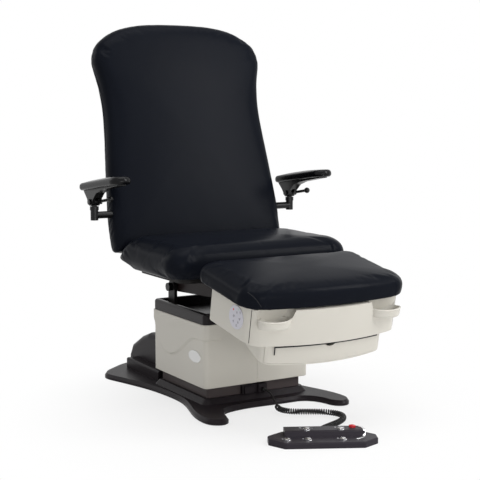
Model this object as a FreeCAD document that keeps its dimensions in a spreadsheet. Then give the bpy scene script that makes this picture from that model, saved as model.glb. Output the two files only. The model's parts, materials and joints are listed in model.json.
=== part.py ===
import FreeCAD, Part
import math
import os
import Sketcher

Vector = FreeCAD.Vector

# A podiatry chair at its lowest position, in millimetres.
# +Z is up, the patient faces -Y and the patient's right hand is at -X.
# The origin is on the floor under the middle of the lift column.

doc = FreeCAD.newDocument("podiatry_chair")
sheet = doc.addObject("Spreadsheet::Sheet", "sizes")

DIMENSIONS = {
    # fits
    "fit_gap": 0.3,
    "running_gap": 0.4,
    "slide_gap": 4.0,
    "overrun": 2.0,
    "shell_wall": 4.0,
    # base
    "base_front": 246.0,
    "base_waist": 230.0,
    "base_rear": 560.0,
    "foot_reach": 378.0,
    "foot_out": 288.0,
    "foot_in": 200.0,
    "base_tail_out": 308.0,
    "base_tail_at": 415.0,
    "base_lift": 3.0,
    "base_edge": 12.0,
    "base_top": 22.0,
    "base_bevel": 7.0,
    "hub_top": 40.0,
    "hub_skirt": 34.0,
    "hub_lip": 11.0,
    "frame_bottom": 12.0,
    "frame_thick": 6.0,
    "frame_inset": 14.0,
    "middle_foot": 45.0,
    "leveller_radius": 22.0,
    "leveller_disc": 8.0,
    "leveller_stem": 6.0,
    "leveller_in": 44.0,
    "leveller_back": 53.0,
    "leveller_ahead": 5.0,
    # lift column
    "cover_half_x": 211.0,
    "cover_half_y": 195.0,
    "cover_bottom": 78.0,
    "cover_top": 301.0,
    "cover_radius": 16.0,
    "sleeve_gap": 3.5,
    "sleeve_step": 7.0,
    "sleeve_wall": 2.5,
    "skirt_top": 276.0,
    "sleeve_lower_bottom": 76.0,
    "sleeve_upper_bottom": 80.0,
    "cap_thick": 4.0,
    "cap_pitch": 8.0,
    "head_thick": 5.0,
    "barrel_radius": 38.0,
    "barrel_wall": 6.0,
    "ram_wall": 6.0,
    "ram_floor": 13.0,
    "ram_flange": 12.0,
    "ram_flange_thick": 3.5,
    "rim_height": 38.0,
    "rim_over": 1.0,
    "rim_wide": 22.0,
    "rim_deck": 4.0,
    "rim_round": 11.0,
    "wave_depth": 3.0,
    "wave_low": 157.0,
    "wave_high": 247.0,
    "wave_end_y": 124.0,
    "wave_front_x": 148.0,
    "badge_y": 122.0,
    "badge_z": 181.0,
    "badge_half_long": 42.0,
    "badge_half_tall": 21.0,
    "badge_thick": 2.5,
    # tilt hinge
    "tilt_y": 140.0,
    "tilt_z": 386.0,
    "tilt_pin_radius": 10.0,
    "lug_thick": 12.0,
    "lug_half": 24.0,
    "lug_gap": 4.0,
    "knob_radius": 15.0,
    "knob_long": 16.0,
    # pump housing
    "pump_front": 205.0,
    "pump_half": 150.0,
    "pump_rear": 546.0,
    "pump_height": 172.0,
    "pump_shoulder_y": 440.0,
    "pump_shoulder_z": 148.0,
    "pump_slope_y": 520.0,
    "pump_slope_z": 104.0,
    "pump_round": 22.0,
    "step_half": 190.0,
    "step_rear": 485.0,
    "step_top": 60.0,
    "motor_radius": 42.0,
    "motor_long": 170.0,
    "tank_wide": 95.0,
    "tank_long": 190.0,
    "tank_tall": 96.0,
    "inlet_wide": 50.0,
    "inlet_tall": 28.0,
    "inlet_deep": 24.0,
    "inlet_flange": 3.0,
    "inlet_z": 52.0,
    # cord socket on the skirt
    "socket_left": 58.0,
    "socket_right": 38.0,
    "socket_bottom": 42.0,
    "socket_tall": 30.0,
    "socket_deep": 14.0,
    "socket_port_deep": 24.0,
    "socket_port_wide": 34.0,
    "socket_port_x": 20.0,
    "plug_radius": 7.5,
    "plug_long": 14.0,
    # foot control
    "pedal_x": -68.0,
    "pedal_y": -695.0,
    "pedal_turn": -27.0,
    "pedal_half_long": 172.0,
    "pedal_half_deep": 66.0,
    "pedal_cut": 48.0,
    "pedal_low": 19.0,
    "pedal_high": 35.0,
    "pedal_round": 5.0,
    "deck_half_long": 118.0,
    "deck_right": 134.0,
    "deck_front": -4.0,
    "deck_slope": 10.0,
    "button_radius": 9.0,
    "button_hole_gap": 0.5,
    "button_travel": 3.0,
    "button_proud": 8.0,
    "button_sink": 6.0,
    "stop_radius": 11.0,
    "arc_radius": 62.0,
    "arc_wide": 6.0,
    "arc_thick": 1.5,
    # curly cord
    "wire_diameter": 5.4,
    "curl_diameter": 20.4,
    "curl_count": 58.0,
    # chair frame
    "saddle_half": 150.0,
    "saddle_front": -225.0,
    "saddle_rear": 176.0,
    "saddle_bottom": 370.0,
    "saddle_top": 424.0,
    "saddle_wall": 5.0,
    "saddle_rise": 20.0,
    "drive_radius": 17.0,
    "drive_half": 60.0,
    "rail_x": 130.0,
    "rail_wide": 30.0,
    "rail_tall": 26.0,
    "cross_tall": 20.0,
    "board_thick": 15.0,
    "seat_half": 358.0,
    "seat_front": -245.0,
    "seat_rear": 183.0,
    "seat_tail": 64.0,
    "seat_top": 568.0,
    "seat_crown": 8.0,
    "seat_edge": 40.0,
    "ear_thick": 12.0,
    "ear_half": 16.0,
    "ear_lift": 12.0,
    "ear_gap": 1.0,
    "board_in": 60.0,
    "board_inset": 40.0,
    "board_round": 40.0,
    "seat_round": 60.0,
    "pin_radius": 9.0,
    # back
    "back_y": 239.0,
    "back_z": 565.0,
    "back_lean": 14.0,
    "back_pivot_y": 264.0,
    "back_pivot_z": 472.0,
    "back_low": -58.0,
    "back_long": 808.0,
    "back_half": 358.0,
    "back_waist_in": 29.0,
    "back_shoulder_in": 6.0,
    "back_face": 36.0,
    "back_behind": 28.0,
    "back_crown": 8.0,
    "back_edge": 30.0,
    "back_wall": 4.0,
    "back_rail_tall": 690.0,
    "back_cross_tall": 40.0,
    "back_frame_deep": 22.0,
    "back_shell_deep": 34.0,
    "back_shell_inset": 38.0,
    # arms
    "pad_gap": 21.0,
    "arm_y": 250.0,
    "bar_z": 651.0,
    "bar_radius": 13.0,
    "socket_edge": 58.0,
    "socket_long": 50.0,
    "bar_stop": 12.0,
    "pocket_gap": 3.0,
    "socket_wall": 4.0,
    "boss_radius": 14.0,
    "boss_top": 669.0,
    "spindle_radius": 8.0,
    "collar_tall": 14.0,
    "clamp_z": 700.0,
    "tongue_thick": 14.0,
    "tongue_radius": 14.0,
    "gusset_thick": 34.0,
    "pivot_radius": 5.0,
    "lever_long": 90.0,
    "lever_rise": 14.0,
    "lever_thick": 11.0,
    "ball_radius": 11.0,
    "pad_tip_y": -12.0,
    "pad_end_y": 320.0,
    "pad_end_z": 735.0,
    "pad_lean": 7.5,
    "pad_half": 39.0,
    "pad_thick": 27.0,
    "pad_crown": 6.0,
    "pad_edge": 10.0,
    "gusset_front_y": 16.0,
    "gusset_rear_y": 306.0,
    # leg section
    "leg_pivot_y": -345.0,
    "leg_pivot_z": 458.0,
    "leg_slope": 10.0,
    "leg_over": 26.0,
    "leg_rear": -26.0,
    "leg_side_front": 290.0,
    "leg_front": 322.0,
    "leg_bottom": 19.0,
    "leg_thick": 62.0,
    "leg_crown": 9.0,
    "leg_edge": 26.0,
    "slide_board": 10.0,
    "leg_rail_wide": 28.0,
    "leg_rail_tall": 16.0,
    "leg_rail_long": 255.0,
    "leg_round": 60.0,
    "leg_rear_round": 30.0,
    "runner_wide": 12.0,
    "board_gap": 12.0,
    "house_half": 286.0,
    "house_rear": 30.0,
    "house_wall": 4.0,
    "house_split": 268.0,
    "house_front": 326.0,
    "house_side_front": 296.0,
    "house_top": 16.0,
    "house_bottom": -100.0,
    "house_round": 60.0,
    "bay_in": 52.0,
    "bay_round": 40.0,
    "bay_bottom": -168.0,
    "bay_rear": 104.0,
    "bay_front": 288.0,
    "bay_front_mid": 314.0,
    "bay_floor": 4.0,
    "bay_wall": 12.0,
    "tray_top": -107.0,
    "tray_wall": 3.5,
    "handle_in": 74.0,
    "handle_half": 56.0,
    "handle_t": 302.0,
    "handle_deep": 34.0,
    "handle_back": 280.0,
    "handle_bottom": -40.0,
    "handle_top": -12.0,
    "handle_wall": 5.0,
    "keypad_t": 198.0,
    "keypad_h": -32.0,
    "keypad_half_long": 42.0,
    "keypad_half_tall": 38.0,
    "keypad_thick": 2.5,
}

for row, (alias, number) in enumerate(DIMENSIONS.items(), start=1):
    sheet.set("A%d" % row, alias)
    sheet.set("B%d" % row, str(number))
    sheet.setAlias("B%d" % row, alias)
doc.recompute()


def size(alias):
    return float(sheet.get(alias))


# Helpers

def bind(item, **expressions):
    for name, expression in expressions.items():
        item.setExpression(name.replace("__", "."), expression)


def cell(text):
    words = []
    for word in text.replace("(", " ( ").replace(")", " ) ").split():
        words.append("sizes." + word if word in DIMENSIONS else word)
    return " ".join(words)


def put_at(item, x, y, z):
    item.setExpression("Placement.Base.x", cell(x))
    item.setExpression("Placement.Base.y", cell(y))
    item.setExpression("Placement.Base.z", cell(z))


def box(label, corner, extent):
    item = doc.addObject("Part::Box", label)
    item.Label = label
    bind(item, Length=cell(extent[0]), Width=cell(extent[1]), Height=cell(extent[2]))
    put_at(item, *corner)
    return item


TURNS = {
    "Z": FreeCAD.Rotation(),
    "X": FreeCAD.Rotation(Vector(0, 0, 1), Vector(1, 0, 0)),
    "Y": FreeCAD.Rotation(Vector(0, 0, 1), Vector(0, 1, 0)),
}


def rod(label, start, radius, length, along="Z"):
    item = doc.addObject("Part::Cylinder", label)
    item.Label = label
    item.Placement = FreeCAD.Placement(Vector(), TURNS[along])
    bind(item, Radius=cell(radius), Height=cell(length))
    put_at(item, *start)
    return item


def ball(label, centre, radius):
    item = doc.addObject("Part::Sphere", label)
    item.Label = label
    bind(item, Radius=cell(radius))
    put_at(item, *centre)
    return item


def joined(label, pieces):
    item = doc.addObject("Part::MultiFuse", label)
    item.Label = label
    item.Shapes = pieces
    return item


def less(label, base, tools):
    tool = tools[0]
    if len(tools) > 1:
        tool = joined(label + "_cuts", tools)
    item = doc.addObject("Part::Cut", label)
    item.Label = label
    item.Base = base
    item.Tool = tool
    return item


def common(label, base, tool):
    item = doc.addObject("Part::Common", label)
    item.Label = label
    item.Base = base
    item.Tool = tool
    return item


def group(label, pieces):
    item = doc.addObject("Part::Compound", label)
    item.Label = label
    item.Links = pieces
    return item


def feature(label, shape, placement=None):
    item = doc.addObject("Part::Feature", label)
    item.Label = label
    item.Shape = shape
    if placement is not None:
        item.Placement = placement
    return item


def origin_plane(body, role):
    for plane in body.Origin.OriginFeatures:
        if plane.Role == role:
            return plane
    raise ValueError(role)


def sketch_on(body, role, name, offset="0"):
    sketch = body.newObject("Sketcher::SketchObject", name)
    sketch.AttachmentSupport = [(origin_plane(body, role), "")]
    sketch.MapMode = "FlatFace"
    sketch.setExpression("AttachmentOffset.Base.z", cell(offset))
    return sketch


def new_body(label):
    body = doc.addObject("PartDesign::Body", label)
    body.Label = label
    return body


def rectangle(sketch, half_x, half_y):
    corners = [(-1, -1), (1, -1), (1, 1), (-1, 1)]
    for number, (a, b) in enumerate(corners):
        c, d = corners[(number + 1) % 4]
        sketch.addGeometry(Part.LineSegment(Vector(a, b, 0), Vector(c, d, 0)))
    for number in range(4):
        sketch.addConstraint(
            Sketcher.Constraint("Coincident", number, 2, (number + 1) % 4, 1))
    for number in (0, 2):
        sketch.addConstraint(Sketcher.Constraint("Horizontal", number))
    for number in (1, 3):
        sketch.addConstraint(Sketcher.Constraint("Vertical", number))
    sketch.addConstraint(Sketcher.Constraint("Symmetric", 0, 1, 2, 1, -1, 1))
    wide = sketch.addConstraint(Sketcher.Constraint("DistanceX", 0, 1, 0, 2, 2))
    deep = sketch.addConstraint(Sketcher.Constraint("DistanceY", 1, 1, 1, 2, 2))
    sketch.renameConstraint(wide, "wide")
    sketch.renameConstraint(deep, "deep")
    sketch.setExpression("Constraints.wide", cell("2 * ( " + half_x + " )"))
    sketch.setExpression("Constraints.deep", cell("2 * ( " + half_y + " )"))


def polygon(sketch, points):
    for number, point in enumerate(points):
        after = points[(number + 1) % len(points)]
        sketch.addGeometry(Part.LineSegment(Vector(*point, 0), Vector(*after, 0)))
    for number in range(len(points)):
        sketch.addConstraint(
            Sketcher.Constraint("Coincident", number, 2, (number + 1) % len(points), 1))


def pad(body, sketch, length, reverse=False):
    item = body.newObject("PartDesign::Pad", "pad")
    item.Profile = sketch
    item.Reversed = reverse
    item.setExpression("Length", cell(length))
    doc.recompute()
    return item


def pocket(body, sketch, length, reverse=False):
    before = body.Shape.Volume
    item = body.newObject("PartDesign::Pocket", "pocket")
    item.Profile = sketch
    item.Reversed = reverse
    item.setExpression("Length", cell(length))
    doc.recompute()
    if not body.Shape.Volume < before:
        raise ValueError(body.Label + ": the pocket cut nothing")
    return item


def edges_like(shape, test):
    return ["Edge%d" % (n + 1) for n, edge in enumerate(shape.Edges) if test(edge)]


def fillet(body, test, radius):
    base = body.Tip
    item = body.newObject("PartDesign::Fillet", "fillet")
    item.Base = (base, edges_like(base.Shape, test))
    item.setExpression("Radius", cell(radius))
    doc.recompute()
    return item


def upright(edge):
    along = edge.tangentAt(edge.FirstParameter)
    return edge.Curve.TypeId == "Part::GeomLine" and abs(along.z) > 0.99


def sideways(edge):
    along = edge.tangentAt(edge.FirstParameter)
    return edge.Curve.TypeId == "Part::GeomLine" and abs(along.x) > 0.99


def slab(label, role, points, start, length):
    body = new_body(label)
    sketch = sketch_on(body, role, label + "_outline", start)
    polygon(sketch, points)
    pad(body, sketch, length)
    return body


def rounded_rectangle(half_x, half_y, radius, z, centre_y=0.0):
    dot = math.sqrt(0.5)
    edges = []
    corners = [(1, -1), (1, 1), (-1, 1), (-1, -1)]
    last = None
    first = None
    for sx, sy in corners:
        cx = sx * (half_x - radius)
        cy = sy * (half_y - radius) + centre_y
        on_x = Vector(cx + sx * radius, cy, z)
        on_y = Vector(cx, cy + sy * radius, z)
        mid = Vector(cx + sx * radius * dot, cy + sy * radius * dot, z)
        start, end = (on_y, on_x) if sx * sy < 0 else (on_x, on_y)
        if last is not None:
            edges.append(Part.LineSegment(last, start).toShape())
        else:
            first = start
        edges.append(Part.Arc(start, mid, end).toShape())
        last = end
    edges.append(Part.LineSegment(last, first).toShape())
    return Part.Wire(edges)


def smooth_wire(points, z):
    curve = Part.BSplineCurve()
    curve.interpolate(Points=[Vector(x, y, z) for x, y in points], PeriodicFlag=True)
    return Part.Wire([curve.toShape()])


def inset(points, distance):
    moved = []
    count = len(points)
    for number, (x, y) in enumerate(points):
        ax, ay = points[number - 1]
        bx, by = points[(number + 1) % count]
        along = math.hypot(bx - ax, by - ay)
        moved.append((x - distance * (by - ay) / along, y + distance * (bx - ax) / along))
    return moved


# Frames of the parts that stand at an angle

SIDEWAYS_AXIS = Vector(1, 0, 0)
BACK_FRAME = FreeCAD.Placement(
    Vector(0, size("back_y"), size("back_z")),
    FreeCAD.Rotation(SIDEWAYS_AXIS, -size("back_lean")))
LEG_FRAME = FreeCAD.Placement(
    Vector(0, size("leg_pivot_y"), size("leg_pivot_z")),
    FreeCAD.Rotation(SIDEWAYS_AXIS, size("leg_slope")))
PEDAL_FRAME = FreeCAD.Placement(
    Vector(size("pedal_x"), size("pedal_y"), 0),
    FreeCAD.Rotation(Vector(0, 0, 1), size("pedal_turn")))
PAD_FRAME = FreeCAD.Placement(
    Vector(0, size("pad_end_y"), size("pad_end_z")),
    FreeCAD.Rotation(SIDEWAYS_AXIS, -size("pad_lean")))


def in_frame(frame, point):
    return frame.inverse().multVec(Vector(*point))


# Padded pieces: smooth closed outlines stacked from the underside to the crown

TUCK_STEPS = 3
EDGE_STEPS = 6
TUCK_SHARE = 0.8
WAIST_SHARE = 0.45
CROWN_SHARES = (0.12, 0.30, 0.52, 0.76)


def pillow_levels(bottom, top, crown, edge, narrow):
    # drawn-in underside, full side, rounded edge and a crowned top, as level and inset
    middle = bottom + (top - bottom) * WAIST_SHARE
    levels = []
    for step in range(TUCK_STEPS + 1):
        turn = math.pi / 2 * step / TUCK_STEPS
        levels.append((bottom + (middle - bottom) * (1 - math.cos(turn)),
                       edge * TUCK_SHARE * (1 - math.sin(turn))))
    for step in range(1, EDGE_STEPS + 1):
        turn = math.pi / 2 * step / EDGE_STEPS
        levels.append((middle + (top - middle) * math.sin(turn), edge * (1 - math.cos(turn))))
    for share in CROWN_SHARES:
        levels.append((top + crown * (1 - (1 - share) ** 2), edge + (narrow - edge) * share))
    return levels


def arc_wire(points):
    # a closed chain of arcs: every second point lies midway on its arc
    edges = []
    for number in range(0, len(points), 2):
        end = points[(number + 2) % len(points)]
        edges.append(Part.Arc(points[number], points[number + 1], end).toShape())
    return Part.Wire(edges)


def pillow(outline, levels, spot):
    # each level is the outline drawn in towards its middle by that level's inset
    low = Vector(min(a for a, b in outline), min(b for a, b in outline), 0)
    high = Vector(max(a for a, b in outline), max(b for a, b in outline), 0)
    middle = (low + high) / 2
    half = (high - low) / 2
    wires = []
    for level, drawn in levels:
        points = []
        for a, b in outline:
            points.append(spot(middle.x + (a - middle.x) * (1 - drawn / half.x),
                               middle.y + (b - middle.y) * (1 - drawn / half.y), level))
        wires.append(arc_wire(points))
    return Part.makeLoft(wires, True, True)


SIDE_BOW_SHARE = 0.006


def soft_outline(half, low, high, low_round, high_round, bow=0.0):
    # a rectangle with rounded corners and slightly full sides, its high end bowed out
    near = 1 - math.sqrt(0.5)
    side = (high - low) * SIDE_BOW_SHARE
    end = half * SIDE_BOW_SHARE
    x = half - side
    y = low + end
    z = high - end
    shoulder = z + bow * (1 - ((x - high_round) / half) ** 2)
    right = [
        (x - low_round, y), (x - low_round * near, y + low_round * near),
        (x, y + low_round), (half, (low + high) / 2), (x, z - high_round),
        (x - high_round * near, (z - high_round * near + shoulder - high_round * near) / 2),
        (x - high_round, shoulder),
    ]
    left = [(-a, b) for a, b in reversed(right)]
    return right + [(0.0, high + bow)] + left + [(0.0, low)]


# Base

BASE_OUTLINE_SHARES = [
    ("foot_in", 0.62, "base_front", -1.0),
    ("foot_in", 0.88, "base_front", -1.09),
    ("foot_in", 1.0, "base_front", -1.28),
    ("foot_in", 1.07, "foot_reach", -0.955),
    ("foot_in", 1.22, "foot_reach", -1.0),
    ("foot_out", 0.965, "foot_reach", -0.945),
    ("foot_out", 1.0, "foot_reach", -0.83),
    ("foot_out", 0.965, "foot_reach", -0.62),
    ("base_waist", 1.10, "foot_reach", -0.40),
    ("base_waist", 1.005, "foot_reach", -0.16),
    ("base_waist", 1.0, "base_tail_at", 0.10),
    ("base_waist", 1.05, "base_tail_at", 0.36),
    ("base_waist", 1.17, "base_tail_at", 0.64),
    ("base_tail_out", 0.97, "base_tail_at", 0.88),
    ("base_tail_out", 1.0, "base_tail_at", 1.0),
    ("base_tail_out", 0.95, "base_tail_at", 1.10),
    ("base_tail_out", 0.78, "base_rear", 0.90),
    ("base_tail_out", 0.55, "base_rear", 0.985),
    ("base_tail_out", 0.25, "base_rear", 1.0),
]
BASE_RIGHT = [
    (size(across) * a, size(along) * b) for across, a, along, b in BASE_OUTLINE_SHARES]
BASE_OUTLINE = BASE_RIGHT + [(-x, y) for x, y in reversed(BASE_RIGHT)]


def sleeve_half(side, level):
    # half width of the sleeves: 0 the upper, 1 the lower, 2 the fixed skirt
    return (size("cover_half_" + side) - size("shell_wall") - size("sleeve_gap")
            - level * size("sleeve_step"))


def sleeve_words(side, level):
    return "cover_half_%s - shell_wall - sleeve_gap - %d * sleeve_step" % (side, level)


SKIRT_X = sleeve_half("x", 2)
SKIRT_Y = sleeve_half("y", 2)


def base_prism(low, high, in_by):
    wire = smooth_wire(inset(BASE_OUTLINE, in_by), low)
    return Part.Face(wire).extrude(Vector(0, 0, high - low))


def make_base_cover():
    outer = Part.makeLoft([
        smooth_wire(BASE_OUTLINE, size("base_lift")),
        smooth_wire(BASE_OUTLINE, size("base_edge")),
        smooth_wire(inset(BASE_OUTLINE, size("base_bevel")), size("base_top")),
    ], True, True)
    hub = Part.makeLoft([
        rounded_rectangle(SKIRT_X + size("hub_skirt"), SKIRT_Y + size("hub_skirt"),
                          size("hub_skirt"), size("base_edge")),
        rounded_rectangle(SKIRT_X + size("hub_lip"), SKIRT_Y + size("hub_lip"),
                          size("hub_lip") * 2, size("hub_top")),
    ], True, True)
    hub_x = SKIRT_X + size("hub_skirt")
    behind = Part.makeBox(
        2 * hub_x, size("pump_front"), size("hub_top"),
        Vector(-hub_x, size("pump_front") - size("fit_gap"), size("base_top")))
    cavity = base_prism(
        0, size("base_top") - size("shell_wall"), size("base_bevel"))
    opening = Part.Face(rounded_rectangle(
        SKIRT_X + size("fit_gap"), SKIRT_Y + size("fit_gap"),
        size("cover_radius") - 3 * size("sleeve_wall"), 0)).extrude(
            Vector(0, 0, 2 * size("hub_top")))
    half = size("pump_half") - 2 * size("shell_wall")
    pump_hole = Part.makeBox(
        2 * half, size("step_rear") - size("pump_front") - 4 * size("shell_wall"),
        2 * size("hub_top"),
        Vector(-half, size("pump_front") + 2 * size("shell_wall"), 0))
    shape = outer.fuse(hub.cut(behind)).cut(cavity).cut(opening).cut(pump_hole)
    return feature("base_cover", shape.removeSplitter())


def make_base_frame():
    top = size("frame_bottom") + size("frame_thick")
    plate = base_prism(size("frame_bottom"), top, size("frame_inset"))
    middle_foot = Part.makeCylinder(size("middle_foot"), top)
    return feature("base_frame", plate.fuse(middle_foot).removeSplitter())


def make_levelling_feet():
    feet = []
    front, rear = "leveller_back - foot_reach", "base_tail_at - leveller_ahead"
    spots = [("-1", front), ("1", front), ("-1", rear), ("1", rear)]
    for number, (sign, y) in enumerate(spots):
        x = sign + " * ( foot_out - leveller_in )"
        disc = rod("leveller_disc_%d" % number, (x, y, "0"),
                   "leveller_radius", "leveller_disc")
        stem = rod("leveller_stem_%d" % number, (x, y, "0"),
                   "leveller_stem", "frame_bottom")
        feet.append(joined("leveller_%d" % number, [disc, stem]))
    return group("levelling_feet", feet)


# Lift column: a fixed skirt, two sleeves and the cover, carried by nested rams

FLOOR = "frame_bottom + frame_thick"


def sleeve(label, level, bottom, top, cap):
    body = new_body(label)
    half_x = sleeve_words("x", level)
    half_y = sleeve_words("y", level)
    outer = sketch_on(body, "XY_Plane", label + "_outside", bottom)
    rectangle(outer, half_x, half_y)
    pad(body, outer, "( " + top + " ) - ( " + bottom + " )")
    fillet(body, upright, "cover_radius - %d * sleeve_wall" % (level + 1))
    inner = sketch_on(body, "XY_Plane", label + "_inside", bottom)
    rectangle(inner, half_x + " - sleeve_wall", half_y + " - sleeve_wall")
    inside = "( " + top + " ) - ( " + bottom + " )"
    if cap:
        inside += " - cap_thick"
    pocket(body, inner, inside, True)
    if cap:
        hole = sketch_on(body, "XY_Plane", label + "_hole", bottom)
        hole.addGeometry(Part.Circle(Vector(), Vector(0, 0, 1), 1))
        hole.addConstraint(Sketcher.Constraint("Coincident", 0, 3, -1, 1))
        round_hole = hole.addConstraint(Sketcher.Constraint("Radius", 0, 1))
        hole.renameConstraint(round_hole, "bore")
        hole.setExpression("Constraints.bore", cell(cap))
        pocket(body, hole, "( " + top + " ) - ( " + bottom + " )", True)
    return body


LOWER_CAP = "skirt_top + cap_pitch"
UPPER_CAP = "skirt_top + 2 * cap_pitch"
RAM_LOWER = "barrel_radius - barrel_wall - running_gap"
RAM_UPPER = RAM_LOWER + " - ram_wall - running_gap"
RAM_TOP = RAM_UPPER + " - ram_wall - running_gap"


def make_lift_cylinder():
    outside = rod("barrel_outside", ("0", "0", FLOOR), "barrel_radius",
                  "skirt_top - ( " + FLOOR + " )")
    bore = rod("barrel_bore", ("0", "0", FLOOR + " + ram_floor"),
               "barrel_radius - barrel_wall", "skirt_top")
    return less("lift_cylinder", outside, [bore])


def ram(label, radius, bottom, cap, floor):
    outside = rod(label + "_tube", ("0", "0", bottom), radius,
                  cap + " - cap_thick - ( " + bottom + " )")
    flange = rod(label + "_flange",
                 ("0", "0", cap + " - cap_thick - ram_flange_thick"),
                 radius + " + ram_flange", "ram_flange_thick")
    bore = rod(label + "_bore", ("0", "0", bottom + " + " + floor),
               radius + " - ram_wall", cap)
    return less(label, joined(label + "_outside", [outside, flange]), [bore])


def make_lift_column():
    lower_bottom = FLOOR + " + ram_floor + running_gap"
    upper_bottom = lower_bottom + " + running_gap"
    return [
        make_lift_cylinder(),
        sleeve("column_skirt", 2, FLOOR, "skirt_top", None),
        sleeve("sleeve_lower", 1, "sleeve_lower_bottom", LOWER_CAP,
               RAM_UPPER + " + running_gap"),
        ram("ram_lower", RAM_LOWER, lower_bottom, LOWER_CAP, "0"),
        sleeve("sleeve_upper", 0, "sleeve_upper_bottom", UPPER_CAP,
               RAM_TOP + " + running_gap"),
        ram("ram_upper", RAM_UPPER, upper_bottom, UPPER_CAP, "0"),
    ]


# Lifting head: cover halves, rim, badge plate, head plate with the tilt lugs

WAVE_SHARES = (
    (-0.02, 1.5), (0.05, 1.15), (0.094, 0.633), (0.166, 0.322), (0.304, 0.022), (0.43, 0.0),
    (0.536, 0.1), (0.643, 0.267), (0.75, 0.522), (0.837, 0.722), (0.925, 0.889), (1.0, 1.0),
)


def wave_region():
    # what a proud band covers: above a wave over the side and a level edge round the front
    low = size("wave_low")
    high = size("wave_high")
    top = size("cover_top") + size("overrun")
    start = size("wave_front_x")
    rear = size("cover_half_y")
    span = rear + size("wave_end_y")
    points = []
    for along, up in WAVE_SHARES:
        points.append(Vector(start, rear - along * span, low + up * (high - low)))
    curve = Part.BSplineCurve()
    curve.interpolate(points)
    front = Vector(start, -rear - 2 * size("wave_depth"), high)
    corners = [points[-1], front, Vector(start, front.y, top),
               Vector(start, points[0].y, top), points[0]]
    edges = [curve.toShape()]
    for first, last in zip(corners, corners[1:]):
        edges.append(Part.LineSegment(first, last).toShape())
    return Part.Face(Part.Wire(edges)).extrude(Vector(size("cover_half_x"), 0, 0))


def make_covers():
    half_x = size("cover_half_x")
    half_y = size("cover_half_y")
    bottom = size("cover_bottom")
    tall = size("cover_top") - bottom
    wall = size("shell_wall")
    radius = size("cover_radius")
    outer = Part.Face(rounded_rectangle(half_x, half_y, radius, bottom)).extrude(
        Vector(0, 0, tall))
    inner = Part.Face(rounded_rectangle(
        half_x - wall, half_y - wall, radius - wall, bottom - size("overrun"))).extrude(
            Vector(0, 0, tall + 2 * size("overrun")))
    depth = size("wave_depth")
    grown = Part.Face(rounded_rectangle(
        half_x + depth, half_y + depth, radius + depth, bottom)).extrude(
            Vector(0, 0, tall))
    bands = both_sides(wave_region())
    tube = outer.fuse(grown.common(bands)).cut(inner).removeSplitter()
    parts = []
    for label, sign in (("cover_left", -1), ("cover_right", 1)):
        gap = size("fit_gap") / 2
        corner = Vector(gap if sign > 0 else -gap - 2 * half_x, -2 * half_y, 0)
        keep = Part.makeBox(2 * half_x, 4 * half_y, 2 * size("cover_top"), corner)
        parts.append(feature(label, tube.common(keep)))
    return parts


def make_rim():
    body = new_body("column_rim")
    outside = sketch_on(body, "XY_Plane", "rim_outside", "cover_top")
    rectangle(outside, "cover_half_x + rim_over", "cover_half_y + rim_over")
    pad(body, outside, "rim_height")
    fillet(body, upright, "cover_radius + rim_over")
    recess = sketch_on(body, "XY_Plane", "rim_recess", "cover_top + rim_deck")
    rectangle(recess, "cover_half_x - rim_wide", "cover_half_y - rim_wide")
    pocket(body, recess, "rim_height", True)
    top = size("cover_top") + size("rim_height")

    def on_top(edge):
        box_of_edge = edge.BoundBox
        return box_of_edge.ZMin > top - size("fit_gap")
    fillet(body, on_top, "rim_round - overrun / 2")
    holes = []
    for sign in ("-1", "1"):
        inner = "saddle_half + lug_gap - fit_gap"
        start = inner if sign == "1" else "-1 * ( " + inner + " + lug_thick + 2 * fit_gap )"
        holes.append(box("rim_hole_" + sign, (
            start, "tilt_y - lug_half - fit_gap", "cover_top - overrun"),
            ("lug_thick + 2 * fit_gap", "2 * ( lug_half + fit_gap )",
             "rim_deck + 2 * overrun")))
    body.Label = "rim_ring"
    return less("column_rim", body, holes)


def make_badge_plate():
    half_x = size("cover_half_x")
    ring = Part.Ellipse(Vector(), size("badge_half_long"), size("badge_half_tall"))
    face = Part.Face(Part.Wire([ring.toShape()]))
    plate = face.extrude(Vector(0, 0, size("badge_thick")))
    turn = FreeCAD.Rotation(Vector(0, -1, 0), Vector(0, 0, 1), Vector(-1, 0, 0))
    place = FreeCAD.Placement(
        Vector(-half_x, -size("badge_y"), size("badge_z")), turn)
    rim = [edge for edge in plate.Edges
           if edge.BoundBox.ZMin > size("badge_thick") - size("fit_gap")]
    plate = plate.makeFillet(size("badge_thick") / 2, rim)
    return feature("badge_plate", plate, place)


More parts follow.
